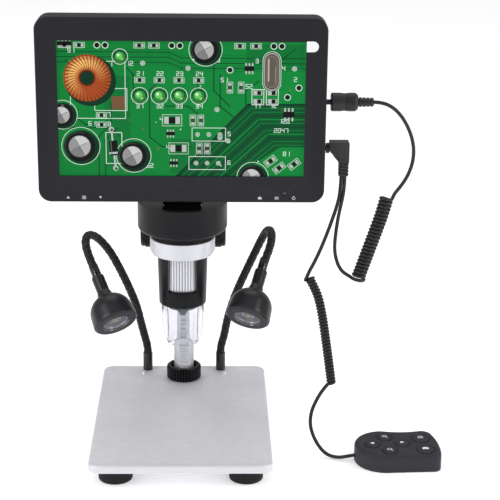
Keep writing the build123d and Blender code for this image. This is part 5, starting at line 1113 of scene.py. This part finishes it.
def draw_picture():
    """A magnified circuit board of no particular make, as on the lit screen."""
    picture = Picture()
    draw_ground(picture)
    draw_toroid(picture, (-58.5, 19.5), 14.5)
    picture.frame((-52, 12), 34, 36, 0.4, SILK, 2)
    picture.frame((-44, 6), 20, 14, 0.4, SILK, 2)
    picture.box((-39.5, 4), 8, 8, tone(120, 84, 56), 1.5)
    for centre, radius in CANS:
        draw_can(picture, centre, radius)
    for step in range(4):
        draw_led(picture, (-26 + step * 12.2, 8.5), 5.4)
    draw_led(picture, (-38, 33), 5.0)
    for places, *measures in CHIP_PARTS:
        for place in places:
            draw_chip_part(picture, place, *measures)
    for places, radius, middle in VIAS:
        for place in places:
            draw_via(picture, place, radius, middle)
    for chip in SMALL_CHIPS:
        draw_small_chip(picture, *chip)
    for centre, width, across in (((17, -16), 21, (10, 17, 24)), ((16, -34.5), 23, (9, 16, 23))):
        picture.frame(centre, width, 8.4, 0.4, SILK, 2)
        for x in across:
            draw_via(picture, (x, centre[1]), 1.4, PAD_GREY)
    for centre in ((47.5, 8), (56.5, 8)):
        picture.frame(centre, 7.4, 9.6, 0.45, SILK, 3)
        for rise in (-2.7, 2.7):
            picture.box((centre[0], centre[1] + rise), 5.4, 3.0, PAD_GREY, 4)
            picture.box((centre[0] + 0.8, centre[1] + rise), 2.4, 2.6, BLACK_INK, 5)
    draw_crystal(picture, (56, 24))
    draw_diode(picture)
    # Chips set at a slant near the lower right corner.
    for place in ((56, -33), (61.5, -37.5), (71, -35)):
        draw_chip_part(picture, place, math.radians(38), 5.4, 2.8)
    for number in NUMBERS:
        draw_number(picture, *number)
    # Bare copper dots.
    draw = random.Random(7)
    for _ in range(40):
        centre = (draw.uniform(-75, 75), draw.uniform(-41, 41))
        picture.disc(centre, draw.uniform(0.3, 0.6), draw.choice((DEEP_GREEN, tone(150, 90, 60), SILK)), 1.4, 10)
    dress(picture.build("screen_picture"), "screen picture", "lcd_glass", "display")


draw_picture()


# ---------------------------------------------------------------- display trim

BEZEL_FACE = -8.2
SYMBOL_LEVEL = 167.7
POWER_MARK = (71.1, SYMBOL_LEVEL)
POWER_MARK_STEPS = 20


def on_face(outline, face_y):
    """Points of a display-front outline, given as (x, z), facing the viewer."""
    return [Vector((x, face_y, z)) * MM for x, z in outline]


def make_bezel_symbols():
    """Small plain symbols printed over the keys: arrows, a list, a box with a small tab, three upright bars and a
    power mark.
    """
    level = SYMBOL_LEVEL
    shapes = [
        [(-72.9, level - 0.7), (-70.9, level - 0.7), (-71.9, level + 0.9)],
        [(-52.5, level + 0.8), (-51.5, level - 0.8), (-50.5, level + 0.8)],
    ]
    shapes += [box_points((-61.8, level + row), 2.4, 0.4) for row in (-0.8, 0.0, 0.8)]
    shapes += [box_points((49.5, level - 0.2), 2.4, 1.3), box_points((49.5, level + 0.7), 1.0, 0.5)]
    shapes += [box_points((60.2 + column, level), 0.45, 1.9) for column in (-0.9, 0.0, 0.9)]
    start, sweep = math.radians(120), math.radians(300)
    for step in range(POWER_MARK_STEPS):
        first = start + sweep * step / POWER_MARK_STEPS
        second = start + sweep * (step + 1) / POWER_MARK_STEPS
        shapes.append(ring_part(POWER_MARK, 0.75, 1.1, first, second))
    shapes.append(box_points((POWER_MARK[0], level + 0.9), 0.4, 1.1))
    symbols = cut_sheet("bezel_symbols", [on_face(shape, BEZEL_FACE) for shape in shapes], 0.04)
    dress(symbols, "symbol ink", "display_plastic", "display")


def make_film_tab():
    """The pull tab of the screen's film: square at the screen, round at its free end."""
    middle, half, root, bend = 264.6, 3.3, 77.2, 81.4
    arc = [polar((bend, middle), half, -math.pi / 2 + math.pi * step / 12) for step in range(1, 12)]
    outline = [(root, middle - half), (bend, middle - half), *arc, (bend, middle + half), (root, middle + half)]
    tab = cut_sheet("film_tab", [on_face(outline, BEZEL_FACE)], 0.12)
    dress(tab, "white film", "display_plastic", "display")


make_bezel_symbols()
status_light = turned(
    "status_light", [(0, 0.0), (1.55, 0.0), (1.55, 1.3), (1.2, 1.75), (0.6, 2.0), (0, 2.05)], (65.3, -6.3, 170.9),
    (0, -1, 0), 32,
)
dress(status_light, "smoked lens", "display_plastic", "display")
make_film_tab()


# ---------------------------------------------------------------- sleeve and hood

SLEEVE_LOW = 88.8
SLEEVE_HIGH = 124.3
SLEEVE_LIP = 99.4
WINDOW_WIDTH = 17.97
WINDOW_HEIGHT = 23.2
SLEEVE_OUTLINE = [
    (14.75, SLEEVE_HIGH), (14.75, SLEEVE_LIP), (11, SLEEVE_LIP), (11, SLEEVE_LOW), (14.6, SLEEVE_LOW),
    (15.0, 88.88), (15.3, 89.1), (15.47, 89.5), (15.53, 90), (16.5, SLEEVE_HIGH), (14.75, SLEEVE_HIGH),
]
HOOD_OUTLINE = [
    (9.7, 60.65), (10.35, 60.65), (12.0, 64), (12.9, 68), (14.0, 74), (14.2, 88.75), (12.4, 88.75), (11.8, 84),
    (11.4, 79), (11.1, 74), (10.7, 69), (10.2, 64.5), (9.7, 60.65),
]


def make_sleeve():
    """The windowed sleeve with a plain lower edge."""
    sleeve = turned("sleeve_shell", SLEEVE_OUTLINE, (0, SCOPE_Y, 0), (0, 0, 1), 96)
    bpy.ops.mesh.primitive_cube_add(size=1)
    cutter = bpy.context.object
    cutter.data.transform(Matrix.Diagonal((WINDOW_WIDTH * MM, 3 * WINDOW_HEIGHT * MM, WINDOW_HEIGHT * MM, 1)))
    cutter.data.transform(Matrix.Translation(Vector((0, SCOPE_Y, SLEEVE_LIP + WINDOW_HEIGHT / 2)) * MM))
    choose(sleeve)
    opening = sleeve.modifiers.new("opening", "BOOLEAN")
    opening.object = cutter
    bpy.ops.object.modifier_apply(modifier=opening.name)
    bpy.data.objects.remove(cutter, do_unlink=True)
    rounded(sleeve, 0.22, math.radians(50))
    dress(sleeve, "black anodised", "black_anodised", "carriage", "focus_sleeve")


make_sleeve()
hood = turned("hood_shell", HOOD_OUTLINE, (0, SCOPE_Y, 0), (0, 0, 1), 96)
dress(hood, "clear hood", "clear_plastic", "hood", "clear_hood")


# ---------------------------------------------------------------- plug trim

PLUG_END = 111.1
PLUG_LINE = (1.8, 228)
GRIP_RADIUS = 5.88
GRIP_WIRE_RADIUS = 0.24
RIB_PITCH = 2.4
RIB_COUNT = 4
ANGLE_RIB_TOP = (103.0, 1.8, 187.9)
ANGLE_RIB_SIZE = (6.4, 6.2, 1.25)
ANGLE_RIB_PITCH = 2.15


def make_plug_trim():
    """Strain relief ribs, grip lines and the slanted inner corner of the right-angle plug."""
    comb = [(2.0, 0.2)]
    for rib in range(RIB_COUNT):
        start = 0.5 + RIB_PITCH * rib
        reach = 3.1 - 0.08 * rib
        comb += [(2.3, start), (reach, start + 0.06), (reach, start + 1.64), (2.3, start + 1.7)]
    ribs = turned("straight_plug_ribs", comb, (PLUG_END, *PLUG_LINE), (1, 0, 0), 40)
    lines = []
    for x in (103.6, 105.2, 106.8, 108.2):
        arc = [(x, *polar(PLUG_LINE, -GRIP_RADIUS, math.radians(-62 + 15 * step))) for step in range(9)]
        lines.append(to_mesh(nurbs("grip line", metres(arc), GRIP_WIRE_RADIUS * MM, steps=4, sides=1)))
    grip = joined(lines, "straight_plug_grip")
    corner = [(96.2, 194.2), (96.2, 193.7), (99.9, 189.4), (100.4, 189.4), (100.4, 194.2)]
    gusset = cut_sheet("angle_plug_corner", [on_face(corner, 5.6)], 7.6)
    blocks = []
    x, y, z = ANGLE_RIB_TOP
    for rib in range(RIB_COUNT):
        bpy.ops.mesh.primitive_cube_add(size=1, location=Vector((x, y, z - ANGLE_RIB_PITCH * rib)) * MM)
        block = bpy.context.object
        block.data.transform(Matrix.Diagonal((*(side * MM for side in ANGLE_RIB_SIZE), 1)))
        block.data.transform(Matrix.Translation(block.location))
        block.location = (0, 0, 0)
        rounded(block, 0.35)
        blocks.append(block)
    angle_ribs = joined(blocks, "angle_plug_ribs")
    for piece, finish_name in (
        (ribs, "plug plastic"), (grip, "jack plastic"), (gusset, "plug plastic"), (angle_ribs, "plug plastic")
    ):
        dress(piece, finish_name, "lead_sleeve", "display")


make_plug_trim()


# ---------------------------------------------------------------- lens and remote trim

front_lens = turned(
    "front_lens", [(0, 0.3), (0.8, 0.22), (1.25, 0.0), (1.25, 1.2), (0, 1.2)], (0, SCOPE_Y, 79.9), (0, 0, 1), 32
)
dress(front_lens, "smoked lens", "lens_black", "lens")

KEY_TOP = 13.4
PAD_KEY_RADIUS = 4.5
WIDE_KEY_RADIUS = 5.6
KEY_CROWN = 1.4
SYMBOL_THICKNESS = 0.03


def make_key_symbol(key, centre, key_radius, shapes):
    """A thin printed symbol that follows the key's domed top."""
    symbol = flat_piece(key + "_symbol", [metres((x, y, 0) for x, y in shape) for shape in shapes])
    choose(symbol)
    bpy.ops.object.mode_set(mode="EDIT")
    bpy.ops.mesh.select_all(action="SELECT")
    bpy.ops.mesh.quads_convert_to_tris()
    bpy.ops.mesh.subdivide(number_cuts=5)
    bpy.ops.object.mode_set(mode="OBJECT")
    for vertex in symbol.data.vertices:
        x, y = vertex.co.x / MM, vertex.co.y / MM
        drop = KEY_CROWN * (x * x + y * y) / (key_radius * key_radius)
        vertex.co = Vector((centre[0] + x, centre[1] + y, KEY_TOP - drop + SYMBOL_THICKNESS)) * MM
    thicken(symbol, SYMBOL_THICKNESS)
    dress(symbol, "remote symbol ink", "remote_key_rubber", key + "_body")


def lens_mark(strokes):
    """A reading-glass mark: a ring with a short handle and the given strokes inside."""
    middle = (-0.3, 0.3)
    turns = [FULL_TURN * step / 16 for step in range(17)]
    shapes = [ring_part(middle, 1.25, 1.6, first, second) for first, second in zip(turns, turns[1:])]
    shapes.append(box_points((1.2, -1.2), 1.3, 0.45, math.radians(-45)))
    return shapes + [box_points(middle, *size) for size in strokes]


PAD_CENTRE = (133.0, -42.2)
PAD_REACH = 9.8
PAD_TURN = 4.0
PAD_SYMBOLS = {
    "zoom_in_key": lens_mark([(1.5, 0.35), (0.35, 1.5)]),
    "left_key": [[(-1.7, 0), (1.1, -1.5), (1.1, 1.5)]],
    "zoom_out_key": lens_mark([(1.5, 0.35)]),
    "right_key": [[(1.7, 0), (-1.1, 1.5), (-1.1, -1.5)]],
}
for quarter, (key, shapes) in enumerate(PAD_SYMBOLS.items()):
    turn = math.radians(90 + 90 * quarter + PAD_TURN)
    make_key_symbol(key, polar(PAD_CENTRE, PAD_REACH, turn), PAD_KEY_RADIUS, shapes)
menu_bars = [box_points((0, row), 3.6, 0.5) for row in (-1.2, 0, 1.2)]
make_key_symbol("remote_menu_key", (155.6, -33.8), WIDE_KEY_RADIUS, menu_bars)
snap_mark = [box_points((0, -0.2), 4.0, 2.4), box_points((0.0, 1.25), 1.6, 0.6)]
make_key_symbol("snap_key", (156.8, -50.4), WIDE_KEY_RADIUS, snap_mark)


bpy.ops.object.select_all(action="DESELECT")
